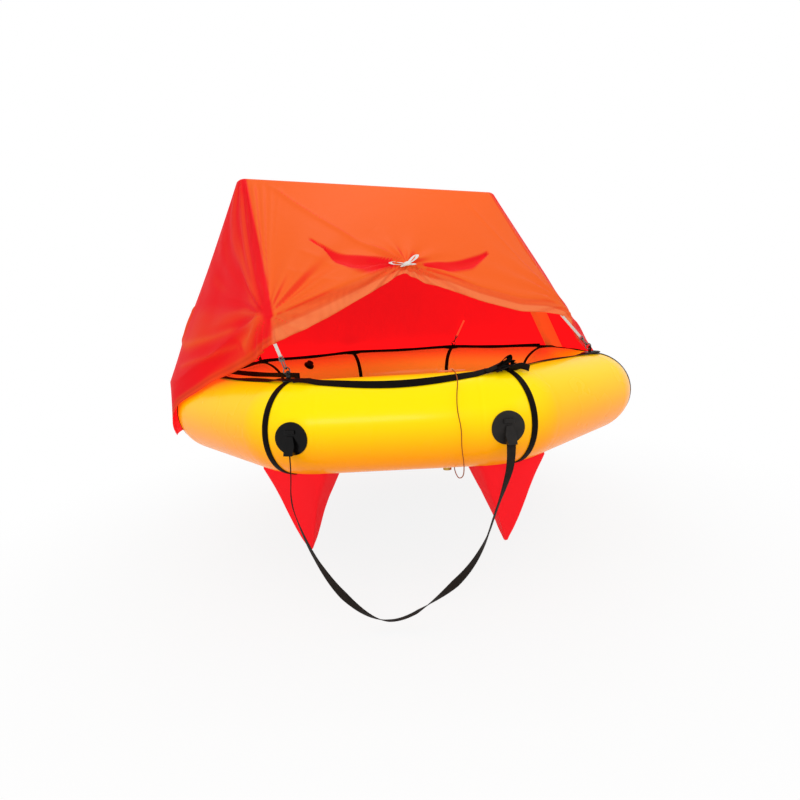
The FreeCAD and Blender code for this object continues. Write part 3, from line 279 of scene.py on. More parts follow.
def surface(name, points, material, close_rows=False, close_columns=False, cap=False, colour=None,
            colour_name=""):
    """Mesh from a grid of points in millimetres, rows by columns."""
    rows, columns = points.shape[:2]
    row = np.arange(rows if close_rows else rows - 1)[:, None]
    column = np.arange(columns if close_columns else columns - 1)[None, :]
    corners = [(row, column), (row + 1, column), (row + 1, column + 1), (row, column + 1)]
    quads = np.stack([(r % rows) * columns + c % columns for r, c in corners], -1).reshape(-1, 4)
    along = lengths(points, close_rows)
    across = lengths(points.transpose(1, 0, 2), close_columns)
    uv = np.stack([np.stack(np.broadcast_arrays(along[r], across[c]), -1) for r, c in corners], -2)
    uv = uv.reshape(-1, 2)
    vertices = points.reshape(-1, 3) * MM
    faces = quads.tolist()
    if cap:
        base = len(vertices)
        vertices = np.vstack([vertices, points[0].mean(axis=0) * MM, points[-1].mean(axis=0) * MM])
        ring = np.arange(columns)
        after = (ring + 1) % columns
        last = (rows - 1) * columns
        faces += np.stack([np.full(columns, base), ring, after], -1).tolist()
        faces += np.stack([np.full(columns, base + 1), last + after, last + ring], -1).tolist()
        uv = np.vstack([uv, np.zeros((6 * columns, 2))])
    if close_columns and (close_rows or cap):
        a, b, c, d = (vertices[quads[:, i]] for i in range(4))
        volume = np.einsum("ij,ij->", a, np.cross(b, c)) + np.einsum("ij,ij->", a, np.cross(c, d))
        if volume < 0:
            faces = [face[::-1] for face in faces]
            sizes = np.array([len(face) for face in faces])
            starts = np.concatenate([[0], np.cumsum(sizes)[:-1]])
            order = np.concatenate([np.arange(s, s + size)[::-1] for s, size in zip(starts, sizes)])
            uv = uv[order]
    mesh = bpy.data.meshes.new(name)
    mesh.from_pydata(vertices.tolist(), [], faces)
    layer = mesh.uv_layers.new(name="UVMap")
    layer.data.foreach_set("uv", uv.astype(np.float32).ravel())
    if colour is not None:
        values = np.ones((len(vertices), 4), np.float32)
        values[:rows * columns, :3] = colour.reshape(-1, 3)
        paint = mesh.color_attributes.new(colour_name, "FLOAT_COLOR", "POINT")
        paint.data.foreach_set("color", values.ravel())
    mesh.shade_smooth()
    piece = bpy.data.objects.new(name, mesh)
    bpy.context.scene.collection.objects.link(piece)
    mesh.materials.append(material)
    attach(piece, "raft")
    print(name, "faces", len(faces))
    return piece


def unit(vectors):
    """Vectors of length one."""
    return vectors / np.maximum(np.linalg.norm(vectors, axis=-1, keepdims=True), 1e-12)


def smooth(share):
    """0 to 1 with level ends: 3 t squared less 2 t cubed."""
    share = np.clip(share, 0.0, 1.0)
    return share * share * (3 - 2 * share)


def squared(value, power):
    """A sine or cosine with its size raised to a power, which squares off a round section."""
    return np.sign(value) * np.abs(value) ** power


# %% [markdown]
# The tube's path is a regular octagon with round bends. One formula gives a point of that path from
# the distance travelled along it: on a straight the outward direction stays the same, in a bend it
# turns with the distance. All that lies on the tube uses it: skin, bands, pads and lifelines.

# %% The tube's path
tube_radius = 140.0
side_length = 610.0
corner_bend = 180.0
corner_names = ("d", "n", "m", "f", "l", "a", "b", "c")
apothem = side_length / 2 / math.tan(math.pi / 8)
bend_reach = (apothem - corner_bend) / math.cos(math.pi / 8)
straight = side_length - 2 * corner_bend * math.tan(math.pi / 8)
pitch = straight + corner_bend * math.pi / 4


def along_tube(distance):
    """Centre and outward direction in plan, from the distance past the middle of the +X side."""
    side = np.floor((distance + pitch / 2) / pitch)
    local = distance - side * pitch
    clamped = np.clip(local, -straight / 2, straight / 2)
    flat = side * math.pi / 4
    turn = flat + (local - clamped) / corner_bend
    outward = np.stack([np.cos(turn), np.sin(turn)], -1)
    normal = np.stack([np.cos(flat), np.sin(flat)], -1)
    tangent = np.stack([-np.sin(flat), np.cos(flat)], -1)
    centre = (apothem - corner_bend) * normal + clamped[..., None] * tangent + corner_bend * outward
    return centre, outward


def on_tube(distance, around, gap):
    """Point at a gap over the skin. around is the angle in degrees from the outer side, up."""
    distance, around, gap = np.broadcast_arrays(*(np.asarray(v, float) for v in (distance, around, gap)))
    centre, outward = along_tube(distance)
    rho = tube_radius + gap
    turn = np.radians(around)
    plan = centre + (rho * np.cos(turn))[..., None] * outward
    return np.concatenate([plan, (tube_radius + rho * np.sin(turn))[..., None]], -1)


def tube_normal(distance, around):
    """Direction out of the skin."""
    return unit(on_tube(distance, around, 1.0) - on_tube(distance, around, 0.0))


def corner_distance(name):
    """Distance along the path of a corner."""
    return (corner_names.index(name) + 0.5) * pitch


def corner_angle(name):
    """Angle of a corner in plan."""
    return math.radians(22.5 + 45.0 * corner_names.index(name))


# %% [markdown]
# The skin itself is that path with a circle round it. Real tubes aren't perfect: the inner side of each bend
# has spare cloth that puckers, and each weld pulls in a little. Both are small changes of the radius. Shade is
# painted into the colour by the way the skin faces, and under the tent an orange light from the cloth is
# painted on too.

# %% Buoyancy tube
light_side = np.array([0.0, 0.75, 0.66])


def tube_swell(distance, around):
    """Change of radius: puckers across the inner side of the bends, and a shallow weld at each end."""
    from_corner = (distance / pitch) % 1.0 - 0.5
    near = np.exp(-(from_corner * pitch / 85.0) ** 2)
    inner = np.exp(-((np.asarray(around) - 180.0) / 55.0) ** 2)
    puckers = 2.2 * near * inner * np.cos(2 * np.pi * from_corner * pitch / 26.0)
    weld = -0.7 * np.exp(-((np.abs(from_corner) * pitch - 74.0) / 5.0) ** 2)
    return puckers + weld


def mix(low, high, share):
    """Blend of two colours at each point."""
    return low + (high - low) * np.asarray(share)[..., None]


tube_along, tube_around = np.meshgrid(np.arange(960) * 8 * pitch / 960, np.arange(96) * 360.0 / 96,
                                      indexing="ij")
tube_points = on_tube(tube_along, tube_around, tube_swell(tube_along, tube_around))
tube_facing = tube_normal(tube_along, tube_around)
# Painted shade: the skin is painted yellow where it faces light_side and orange underneath and at the ends.
tube_facing = np.abs(tube_facing[..., 1]) * light_side[1] + tube_facing[..., 2] * light_side[2]
tube_colour = mix(linear("#FF9604"), linear("#FFE000"), np.clip((tube_facing + 0.1) / 1.05, 0, 1) ** 2.2)
# Painted light: under the canopy the skin is painted red-orange near its crest and orange-yellow lower on its
# inner side.
towards_front = tube_points[..., 0] * math.sin(math.pi / 8) - tube_points[..., 1] * math.cos(math.pi / 8)
painted_tent_light = smooth((420.0 - towards_front) / 300.0) * smooth((tube_around - 20.0) / 60.0) * (tube_around < 250.0)
deeper = smooth((tube_around - 112.0) / 45.0)
tube_colour = mix(tube_colour, mix(linear("#F06A38"), linear("#FBA83C"), deeper), 0.9 * painted_tent_light)
tube_piece = surface("tube_skin", tube_points, tube_skin, True, True, colour=tube_colour,
                     colour_name="skin_colour")
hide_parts("buoyancy_tube")

# %% [markdown]
# Under the canopy an inflated arch runs from one corner to the opposite one. It is a thinner tube on
# a path of three straights with round shoulders, so the path is sampled first and a circle is then
# carried along it. The same helper makes every cord, and with a flat section it makes webbing.

# %% Sections carried along a path


def path_frame(path, facing, closed):
    """Tangent, face direction and sideways direction at each point of a path."""
    if closed:
        tangent = unit(np.roll(path, -1, axis=0) - np.roll(path, 1, axis=0))
    else:
        tangent = unit(np.gradient(path, axis=0))
    facing = np.broadcast_to(np.asarray(facing, float), path.shape)
    face = unit(facing - np.sum(facing * tangent, -1, keepdims=True) * tangent)
    return tangent, face, np.cross(tangent, face)


def carried(name, path, facing, across, through, material, closed=False, power=1.0, sides=16, **more):
    """Section carried along a path: a superellipse, round at power 1 and flat with soft edges at 0.35.
    across and through are its full sizes, as numbers or one for each point of the path."""
    tangent, face, side = path_frame(path, facing, closed)
    turn = 2 * np.pi * np.arange(sides) / sides
    x, y = squared(np.cos(turn), power) / 2, squared(np.sin(turn), power) / 2
    across = np.broadcast_to(np.asarray(across, float), len(path))[:, None, None]
    through = np.broadcast_to(np.asarray(through, float), len(path))[:, None, None]
    points = path[:, None] + side[:, None] * x[:, None] * across + face[:, None] * y[:, None] * through
    return surface(name, points, material, closed, True, cap=not closed, **more)


def webbing(name, path, facing, width, thickness, material, closed=False, **more):
    """Flat webbing with soft edges."""
    return carried(name, path, facing, width, thickness, material, closed, 0.35, 16, **more)


def in_canopy(u, v, z):
    """Point from the canopy's own axes: u along the arch, v towards the entrance."""
    turn = math.radians(22.5)
    u, v, z = np.broadcast_arrays(*(np.asarray(value, float) for value in (u, v, z)))
    return np.stack([u * math.cos(turn) + v * math.sin(turn), u * math.sin(turn) - v * math.cos(turn), z], -1)


def rounded(points, radius, count):
    """Straight runs with a round bend of one radius at each inner point, count points to a bend."""
    pieces = [points[:1]]
    for before, corner, after in zip(points, points[1:], points[2:]):
        back, ahead = unit(before - corner), unit(after - corner)
        half = math.acos(back @ ahead) / 2
        reach = radius / math.tan(half)
        middle = unit(back + ahead)
        centre = corner + middle * radius / math.sin(half)
        start, end = corner + back * reach - centre, corner + ahead * reach - centre
        share = np.linspace(0, 1, count)[:, None]
        turn = math.acos(unit(start) @ unit(end))
        sweep = start * np.sin((1 - share) * turn) + end * np.sin(share * turn)
        pieces.append(centre + sweep / math.sin(turn))
    pieces.append(points[-1:])
    return np.vstack(pieces)


def resampled(path, step):
    """The same line with points a step apart."""
    distance = np.concatenate([[0.0], np.cumsum(np.linalg.norm(np.diff(path, axis=0), axis=1))])
    wanted = np.linspace(0, distance[-1], max(2, int(distance[-1] / step)))
    return np.stack([np.interp(wanted, distance, path[:, i]) for i in range(3)], -1)


# %% Inflated arch
arch_radius = 34.0
arch_height = 965.0
arch_left, arch_right = -592.0, 470.0
foot_rise, foot_angle = 122.0, math.radians(60.0)
corner_reach = apothem / math.cos(math.pi / 8)
foot_u = corner_reach + foot_rise * math.cos(foot_angle)
foot_z = tube_radius + foot_rise * math.sin(foot_angle)
arch_corners = in_canopy(np.array([-foot_u, arch_left, arch_right, foot_u]), np.zeros(4),
                         np.array([foot_z, arch_height, arch_height, foot_z]))
arch_path = resampled(rounded(arch_corners, 90.0, 24), 12.0)
arch_colour = np.broadcast_to(linear("#F5702E"), (len(arch_path), 32, 3))
arch_piece = carried("arch_skin", arch_path, in_canopy(0.0, 1.0, 0.0), 2 * arch_radius, 2 * arch_radius,
                     arch_skin, sides=32, colour=arch_colour, colour_name="skin_colour")
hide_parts("arch_tube")

# %% [markdown]
# The canopy is one tent of cloth. It lies over the arch, falls to a hem in front and wraps round the
# tube on the other three sides. Going round the raft, each column of the grid has a place on the
# arch, a shoulder line and an edge. Tables hold the shoulder and the edge at a few stations, and the
# rows in between are blended. The folds are then raised along the surface's own normal. A station of
# the front hem holds its share of the way, how far it lies behind the corner line, its height over
# the tube and the width of the hem. A station of the sides holds the share, the gap over the skin
# and the angle round the tube.

# %% Tables of the canopy
cloth_thickness = 3.0
canopy_gap = 2.5
ridge_setback, setback_lean = 24.0, 24.0
arch_lean = 50.0
over_arch, hem_start = 0.1, 0.85
hem_middle = -60.0
hem_reach = 545.0
hem_soft = 0.022
knot_share = 0.455
skirt_shoulder, skirt_edge = (58.0, 39.0), (33.5, -27.4)
front_hem = np.array([
    (0.00, 15.0, 191.0, 79.0), (0.16, 80.0, 254.0, 76.0), (0.28, 130.0, 302.0, 62.0),
    (0.37, 163.0, 336.0, 50.0), (0.43, 176.0, 348.0, 24.0), (0.455, 172.0, 343.0, 22.0),
    (0.50, 166.0, 337.0, 46.0), (0.58, 144.0, 316.0, 52.0), (0.675, 93.0, 267.0, 52.0),
    (0.80, 42.0, 217.0, 48.0), (0.90, 35.0, 203.0, 42.0), (0.96, 31.0, 184.0, 36.0),
    (1.00, 30.0, 147.0, 41.0)])
left_shoulder = np.array([(0.0, 191.0, 86.7), (0.3, 156.0, 78.0), (0.55, 101.0, 63.0), (0.8, 65.0, 43.0),
                          (1.0, *skirt_shoulder)])
left_edge = np.array([(0.0, 112.0, 86.6), (0.3, 59.0, 83.7), (0.55, 19.0, 73.0), (0.68, 13.0, 40.6),
                      (0.86, 16.0, 17.0), (1.0, *skirt_edge)])
right_shoulder = np.array([(0.0, 157.0, 105.0), (0.2, 122.0, 97.0), (0.45, 67.0, 74.0), (0.7, 54.0, 48.0),
                           (1.0, *skirt_shoulder)])
right_edge = np.array([(0.0, 116.0, 106.0), (0.1, 34.0, 100.0), (0.25, 16.0, 80.0), (0.45, 13.0, 42.0),
                       (0.7, 16.0, 17.0), (1.0, *skirt_edge)])


def column_of(table, share, column, soft=0.05):
    """Reading of a table of stations, as the mean of nine straight-line readings beside the place. The
    reach of the mean closes to nothing at both ends, so that neighbouring panels still meet."""
    reach = np.minimum(soft, np.minimum(share, 1 - share))
    steps = np.linspace(-1, 1, 9)
    weights = np.cos(steps * np.pi / 2.2)
    readings = [np.interp(share + step * reach, table[:, 0], table[:, column]) for step in steps]
    return np.tensordot(weights / weights.sum(), np.array(readings), 1)


def ring_distance(from_corner, offset):
    """Distance from the middle to the octagon moved out by offset, at an angle from a corner."""
    delta, half = np.radians(np.abs(from_corner)), math.pi / 8
    radius = corner_bend + offset
    bend_end = np.arctan2(radius * math.sin(half), bend_reach + radius * math.cos(half))
    beside = bend_reach * np.sin(delta)
    bend = bend_reach * np.cos(delta) + np.sqrt(np.maximum(radius ** 2 - beside ** 2, 0))
    return np.where(delta <= bend_end, bend, (apothem + offset) / np.cos(half - delta))


def ring_point(angle, gap, around):
    """Point over the skin by the angle about the raft in the canopy's axes."""
    rho = tube_radius + gap
    offset = rho * np.cos(np.radians(around))
    distance = ring_distance((angle + 22.5) % 45.0 - 22.5, offset)
    turn = np.radians(angle)
    height = tube_radius + rho * np.sin(np.radians(around))
    return in_canopy(distance * np.cos(turn), distance * np.sin(turn), height)


def ring_reading(angle, table, share):
    """Point over the skin whose gap and angle round the tube come from a table of stations."""
    return ring_point(angle, column_of(table, share, 1), column_of(table, share, 2))


# %% Columns and rows of the canopy


def canopy_top(part, share, lean):
    """Point on the arch's back: part 0 front, 1 right, 2 rear, 3 left; lean from 0 at the ridge."""
    back = arch_radius + canopy_gap + cloth_thickness
    u = np.select([part == 0, part == 1, part == 2],
                  [arch_left + share * (arch_right - arch_left), arch_right,
                   arch_right + share * (arch_left - arch_right)], arch_left)
    turn = np.radians(np.select([part == 0, part == 1, part == 2], [90.0, 90.0 - 180.0 * share, 270.0],
                                270.0 - 180.0 * share))
    ridge_u = np.maximum(u, arch_left + ridge_setback)
    u = ridge_u + (u - ridge_u) * smooth(lean / setback_lean)
    reach = back * np.sin(np.radians(lean))
    height = arch_height + back * np.cos(np.radians(lean))
    return in_canopy(u + reach * np.cos(turn), reach * np.sin(turn), height)


def canopy_lower(part, share):
    """Shoulder and edge of each column. The last part of the left panel is drawn over to the front's
    first column, so that the two panels meet."""
    corner_v = corner_reach * math.cos(math.pi / 4)
    setback, rise, band = (column_of(front_hem, share, column, hem_soft) for column in (1, 2, 3))
    front_v = corner_v - setback
    front_u = hem_middle + hem_reach * (2 * share - 1)
    upper = 2 * tube_radius + rise
    front_top = in_canopy(front_u, front_v, upper)
    front_edge = in_canopy(front_u, front_v + 6.0 * np.sin(np.pi * share), upper - band)
    right_way, left_way = np.minimum(1.0, share * 2), np.minimum(1.0, (1 - share) * 2)
    right_angle, rear_angle, left_angle = (start - 90.0 * share for start in (45.0, -45.0, -135.0))
    tops = [front_top, ring_reading(right_angle, right_shoulder, right_way),
            ring_point(rear_angle, *skirt_shoulder), ring_reading(left_angle, left_shoulder, left_way)]
    edges = [front_edge, ring_reading(right_angle, right_edge, right_way),
             ring_point(rear_angle, *skirt_edge), ring_reading(left_angle, left_edge, left_way)]
    first_v = corner_v - front_hem[0, 1]
    near = smooth((share - 0.84) / 0.16)[..., None]
    for points, drop in ((tops, 0.0), (edges, front_hem[0, 3])):
        corner = in_canopy(hem_middle - hem_reach, first_v, 2 * tube_radius + front_hem[0, 2] - drop)
        last = ring_point(-225.0, *(left_shoulder if drop == 0 else left_edge)[0, 1:])
        points[3] = points[3] + (corner - last) * near
    chosen = [(part == index)[..., None] for index in range(4)]
    return np.select(chosen, tops), np.select(chosen, edges)


def cloth_point(part, share, row=0):
    """One point of the cloth: of the shoulder line at row 0, of the edge at row 1."""
    return canopy_lower(np.array(part), np.array(share))[row]


def slope_and_hem(down):
    """Shares of the slope and of the hem that a row has passed."""
    return (np.clip((down - over_arch) / (hem_start - over_arch), 0, 1),
            np.clip((down - hem_start) / (1 - hem_start), 0, 1))


def canopy_base(part, share, down):
    """Plain surface: down runs over the arch, then down the slope and to 1 over the hem."""
    top = canopy_top(part, share, arch_lean * np.clip(down / over_arch, 0, 1))
    shoulder, edge = canopy_lower(part, share)
    slope, hem = (part_way[..., None] for part_way in slope_and_hem(down))
    return top + (shoulder - top) * slope + (edge - shoulder) * hem


# %% [markdown]
# Folds on real cloth start where it is pulled: at the two front corners and at the bow that ties the
# entrance up. All the folds are written on one pair of coordinates, x in millimetres round the tent
# from the left front corner and y down the cloth, so they run over the corner without a break. A fan
# is a wave of the angle about a pull. A line is a bell across a straight stretch. A crescent is the
# room between two curves, where the cloth hangs in a pocket beside the bow.

# %% Folds of the canopy
panel = 2 * hem_reach
knot_x = knot_share * panel
gather = (-10.0, 750.0)


def fan(x, y, pull, count, height, reach, turn=0.0):
    """Pleats round a pull, rising to their height at the reach and then fading."""
    distance, angle = np.hypot(x - pull[0], y - pull[1]), np.arctan2(y - pull[1], x - pull[0])
    fade = (distance / reach) ** 1.5 * np.exp(1.5 * (1 - distance / reach))
    return height * fade * np.cos(count * angle + turn)


def line(x, y, start, end, width):
    """Crease of height 1 along a straight stretch: sharp at its top, faded at both ends."""
    start, end = np.array(start), np.array(end)
    way = end - start
    length = np.hypot(*way)
    along = ((x - start[0]) * way[0] + (y - start[1]) * way[1]) / length ** 2
    off = ((x - start[0]) * way[1] - (y - start[1]) * way[0]) / length
    return np.exp(-np.abs(off / width) ** 1.3) * smooth(along / 0.15) * smooth((1 - along) / 0.15)


def crescent(x, y, stations):
    """Way from the upper curve to the lower one, as a bell, and a mask that is sharp above and soft
    below. A station holds x, the upper y and the lower y."""
    table = np.array(stations)
    share = np.clip((x - table[0, 0]) / (table[-1, 0] - table[0, 0]), 0, 1)
    table[:, 0] = (table[:, 0] - table[0, 0]) / (table[-1, 0] - table[0, 0])
    upper, lower = column_of(table, share, 1), column_of(table, share, 2)
    way = (y - upper) / np.maximum(lower - upper, 8.0)
    ends = smooth(share / 0.06) * smooth((1 - share) / 0.05)
    mask = smooth((y - upper + 7.0) / 12.0) * smooth((1.3 - way) / 0.4) * ends
    return np.sin(np.pi * np.clip(way, 0, 1)) * ends, mask


def upright_pleats(x, y):
    """Long narrow pleats that run from the ridge down into the gather at the left front corner."""
    angle = np.arctan2(x - gather[0], np.maximum(gather[1] - y, 1.0))
    distance = np.hypot(x - gather[0], y - gather[1])
    narrow = np.exp(-((angle - 0.02) / 0.11) ** 2) * np.cos(angle * 2 * np.pi / 0.047)
    narrow = narrow * smooth(distance / 330.0)
    inside = smooth((-angle - 0.05) / 0.15) * smooth((1.3 + angle) / 0.4) * smooth((x + 520.0) / 200.0)
    wide = inside * np.cos(angle * 2 * np.pi / 0.21 + 0.8) * smooth(distance / 420.0)
    return 3.2 * (narrow + wide) * smooth((gather[1] - y) / 30.0)


def left_streaks(x, y):
    """Four folds of the left panel that catch the light."""
    return (line(x, y, (-20.0, 742.0), (-190.0, 800.0), 22.0)
            + 0.8 * line(x, y, (-500.0, 470.0), (-515.0, 625.0), 12.0)
            + 0.7 * line(x, y, (-520.0, 604.0), (-160.0, 742.0), 14.0)
            + 0.5 * line(x, y, (-470.0, 700.0), (-170.0, 800.0), 10.0))


bow_pockets = [
    [(170.0, 416.0, 420.0), (215.0, 488.0, 505.0), (250.0, 533.0, 610.0), (300.0, 580.0, 700.0),
     (350.0, 626.0, 748.0), (410.0, 686.0, 762.0), (456.0, 724.0, 756.0)],
    [(560.0, 700.0, 740.0), (656.0, 645.0, 711.0), (754.0, 560.0, 628.0), (830.0, 497.0, 525.0),
     (872.0, 458.0, 470.0)]]


def canopy_folds(part, x, y, share, slope):
    """Height of the folds over the plain cloth, in millimetres."""
    pulls = fan(x, y, gather, 16, 4.5, 130.0) + fan(x, y, gather, 7, 6.0, 260.0, 0.6)
    pulls += fan(x, y, (knot_x, 742.0), 15, 5.5, 85.0) + fan(x, y, (panel, 745.0), 12, 4.0, 110.0)
    pulls += upright_pleats(x, y)
    front = 7.0 * line(x, y, (60.0, -20.0), (knot_x - 25.0, 715.0), 11.0)
    front += 3.0 * line(x, y, (930.0, 60.0), (1030.0, 700.0), 10.0)
    front += 3.0 * line(x, y, (120.0, 470.0), (330.0, 735.0), 14.0)
    front += 2.5 * line(x, y, (60.0, 560.0), (250.0, 745.0), 12.0)
    front -= 9.0 * np.exp(-((panel - x) / 90.0) ** 2) * np.sin(np.pi * slope ** 1.5)
    front -= 11.0 * sum(crescent(x, y, stations)[0] for stations in bow_pockets)
    front += 4.0 * np.sin(x / 97.0 + 1.0) * np.sin(y / 160.0)
    beside = np.exp(-((np.abs(x - knot_x) - 45.0) / 40.0) ** 2) * np.exp(-((y - 775.0) / 22.0) ** 2)
    front += 3.5 * beside * np.sin(x / 3.1 + y / 9.0)
    ripple = np.sin(x / 5.2 + 2.2 * np.sin(x / 37.0)) * (0.5 + 0.5 * np.sin(x / 83.0))
    front += 1.1 * smooth((y - 765.0) / 20.0) * ripple
    middle = slope * np.sin(np.pi * share)
    left_side = 9.0 * left_streaks(x, y) + 2.0 * np.sin(10 * np.pi * share) * middle
    rear_side = 9.0 * np.cos(14 * np.pi * share) * middle
    right_side = 8.0 * np.cos(10 * np.pi * share) * middle * smooth(share / 0.5)
    own = np.select([part == 0, part == 1, part == 2], [front * smooth(x / 40.0), right_side, rear_side],
                    left_side)
    return own + pulls


# %% Canopy
columns_per_part = np.array([242, 58, 74, 146])
slope_length, hem_length = 760.0, 95.0
cloth_half = 1.2
part_index = np.repeat(np.arange(4), columns_per_part)
part_share = np.concatenate([np.arange(n) / n for n in columns_per_part])
down_rows = np.concatenate([np.linspace(0, over_arch, 6)[:-1], np.linspace(over_arch, 0.40, 19)[:-1],
                            np.linspace(0.40, hem_start, 56)[:-1], np.linspace(hem_start, 1, 12)])
canopy_part, canopy_down = np.meshgrid(part_index, down_rows, indexing="ij")
canopy_share = np.repeat(part_share[:, None], len(down_rows), axis=1)
base = canopy_base(canopy_part, canopy_share, canopy_down)


def grid_normals(points):
    """Outward normals of a grid that runs anticlockwise round the raft and downwards."""
    ahead = np.roll(points, -1, axis=0) - np.roll(points, 1, axis=0)
    below = np.gradient(points, axis=1)
    return unit(np.cross(below, ahead))


normals = grid_normals(base)
normals[:, 0] = (0.0, 0.0, 1.0)
slope, hem_share = slope_and_hem(canopy_down)
turns = np.where(canopy_part == 3, canopy_share - 1, canopy_part + canopy_share)
cloth_x, cloth_y = turns * panel, slope * slope_length + hem_share * hem_length
folds = canopy_folds(canopy_part, cloth_x, cloth_y, canopy_share, slope)
free = np.select([canopy_part == 0, canopy_part == 3, canopy_part == 1],
                 [np.ones_like(slope), smooth((canopy_share - 0.35) / 0.4),
                  smooth((0.4 - canopy_share) / 0.35)], 0.0)
kept = smooth(slope / 0.08) * (1 - (1 - free) * smooth((slope - 0.75) / 0.25))
outer = base + normals * (folds * kept)[..., None]
final_normals = grid_normals(outer)
final_normals[:, 0] = (0.0, 0.0, 1.0)
lining = outer - final_normals * cloth_half

# %% [markdown]
# The colour follows the same coordinates, with light and shade painted in. The front panel faces the light and
# is painted orange, the others are painted red as shade, and a fold moves a little towards the one or the other
# by how far its normal has turned. The pockets beside the bow are painted red as shade too, raised folds on the
# other panels and four streaks of the left panel are painted lighter as light, and the hem is paler, with a row
# of stitches.

# %% Colour of the canopy
# Painted shade: cloth that faces cloth_light is painted orange, cloth turned away from it is painted red.
cloth_light = unit(np.array([0.10, -0.75, 0.65]))
lit = (canopy_part == 0) * smooth(cloth_x / 9.0) * smooth((panel - cloth_x) / 9.0)
turned = (final_normals - normals) @ cloth_light
painted_shade_share = 1 - lit - 0.45 * (canopy_part == 1) * smooth((panel + 90.0 - cloth_x) / 60.0)
painted_shade_share = painted_shade_share + lit * 0.6 * smooth((-turned - 0.06) / 0.22)
painted_shade_share = painted_shade_share - (1 - lit) * 0.25 * smooth((turned - 0.06) / 0.2)
# Painted shade: the pockets beside the bow are painted red.
pockets = (canopy_part == 0) * sum(crescent(cloth_x, cloth_y, stations)[1] for stations in bow_pockets)
painted_shade_share = np.clip(painted_shade_share + 0.95 * pockets, 0, 1)
# Painted light: four streaks of the left panel and a band along its lower hem are painted lighter.
streaks = (canopy_part == 3) * left_streaks(cloth_x, cloth_y)
left_band = (canopy_part == 3) * smooth((cloth_x + 620.0) / 200.0) * smooth((hem_share - 0.66) / 0.1)
painted_shade_share = painted_shade_share * (1 - 0.5 * np.clip(streaks + 0.9 * left_band, 0, 1))
# Painted light: raised folds of the side and rear panels are painted lighter.
painted_shade_share = painted_shade_share - 0.22 * (canopy_part != 0) * smooth(folds / 9.0)
outer_colour = mix(linear("#EE6226"), linear("#EB1820"), painted_shade_share)
front_band = (canopy_part == 0) * smooth(hem_share / 0.08)
half_way = smooth((hem_share - 0.40) / 0.12)
outer_colour = mix(outer_colour, mix(linear("#EC6434"), linear("#F08050"), half_way), 0.8 * front_band)
stitch = front_band * np.exp(-((hem_share - 0.42) / 0.06) ** 2)
outer_colour = mix(outer_colour, linear("#D9482A"), 0.45 * stitch)
# Painted shade: the lining is painted flat red, the shade colour of the cloth.
lining_colour = np.broadcast_to(linear("#EE1C24"), lining.shape)
seam = (canopy_part != 0) * np.exp(-((hem_share - 0.8) / 0.07) ** 2)
outer_colour = mix(outer_colour, linear("#B5121A"), 0.35 * seam)
shell = np.concatenate([outer, lining[:, ::-1]], axis=1)
shell_colour = np.concatenate([outer_colour, lining_colour[:, ::-1]], axis=1)
canopy_piece = surface("canopy_cloth_tent", shell, canopy_cloth, True, True, colour=shell_colour,
                       colour_name="cloth_colour")
canopy_piece.data.materials.append(lining_cloth)
rows_round = shell.shape[1]
is_lining = np.tile(np.arange(rows_round) >= len(down_rows), shell.shape[0]).astype(np.int32)
canopy_piece.data.polygons.foreach_set("material_index", is_lining)
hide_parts("canopy")

# %% [markdown]
# Webbing bands go round the tube at each corner, under a rubber pad. A band is a flat section carried
# round the tube's circle, so it only needs the circle's points and the way out of the skin. Three of
# them were glued a centimetre beside their corner.

# %% Corner bands
band_width = 20.0
band_room, band_thickness = 3.0, 2.6
band_shift = {"a": -10.0, "b": 10.0, "c": 10.0}
for name in corner_names:
    around = np.arange(120) * 3.0
    place = corner_distance(name) + band_shift.get(name, 0.0)
    path = on_tube(place, around, 0.3 + band_room / 2)
    band = webbing("band_" + name, path, tube_normal(place, around), band_width, band_thickness,
                   black_webbing, True)
    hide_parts("corner_band_" + name)

# %% [markdown]
# Two lifelines lie on the tube. The outer one goes all the way round, over the pads, and sags between
# them, further at the front. The inner one stands on edge on its pads and goes round the rear only,
# from one side of the entrance to the other. Webbing never lies quite flat, so both roll as they go.

# %% Lifelines
outer_width, inner_width, lifeline_thickness = 24.0, 17.0, 1.8
lifeline_droop = {"a": 32.0, "b": -6.0}
crest_inset, pad_top, above_pad = 29.0, 145.5, 7.8


def outer_line(steps):
    """Path and face direction of the outer lifeline, one side after the other."""
    share = np.arange(steps) / steps
    paths, faces = [], []
    for index, name in enumerate(corner_names):
        following = corner_names[(index + 1) % 8]
        lean_start, lean_end = (-5.0 if corner in ("d", "l") else 10.0 for corner in (name, following))
        lean = lean_start + (lean_end - lean_start) * share
        droop = lifeline_droop.get(name, 13.0)
        around = 90.0 - lean - (droop - lean) * np.sin(np.pi * share)
        distance = corner_distance(name) + share * pitch
        from_pad = np.minimum(share, 1 - share) * pitch
        gap = 2.5 + 5.2 * (1 - smooth((from_pad - 44.0) / 40.0))
        roll = 12.0 * np.sin(3 * np.pi * share + index) * np.sin(np.pi * share)
        if name == "a":
            roll = -22.0 * np.sin(np.pi * share) ** 0.5
            gap = gap + 3.5 * np.sin(np.pi * share)
        paths.append(on_tube(distance, around, gap))
        faces.append(tube_normal(distance, around + roll))
    return np.vstack(paths), np.vstack(faces)


outer_path, outer_face = outer_line(64)
outer_lifeline = webbing("lifeline_outer", outer_path, outer_face, outer_width, lifeline_thickness,
                         black_webbing, True)
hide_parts("outer_lifeline")


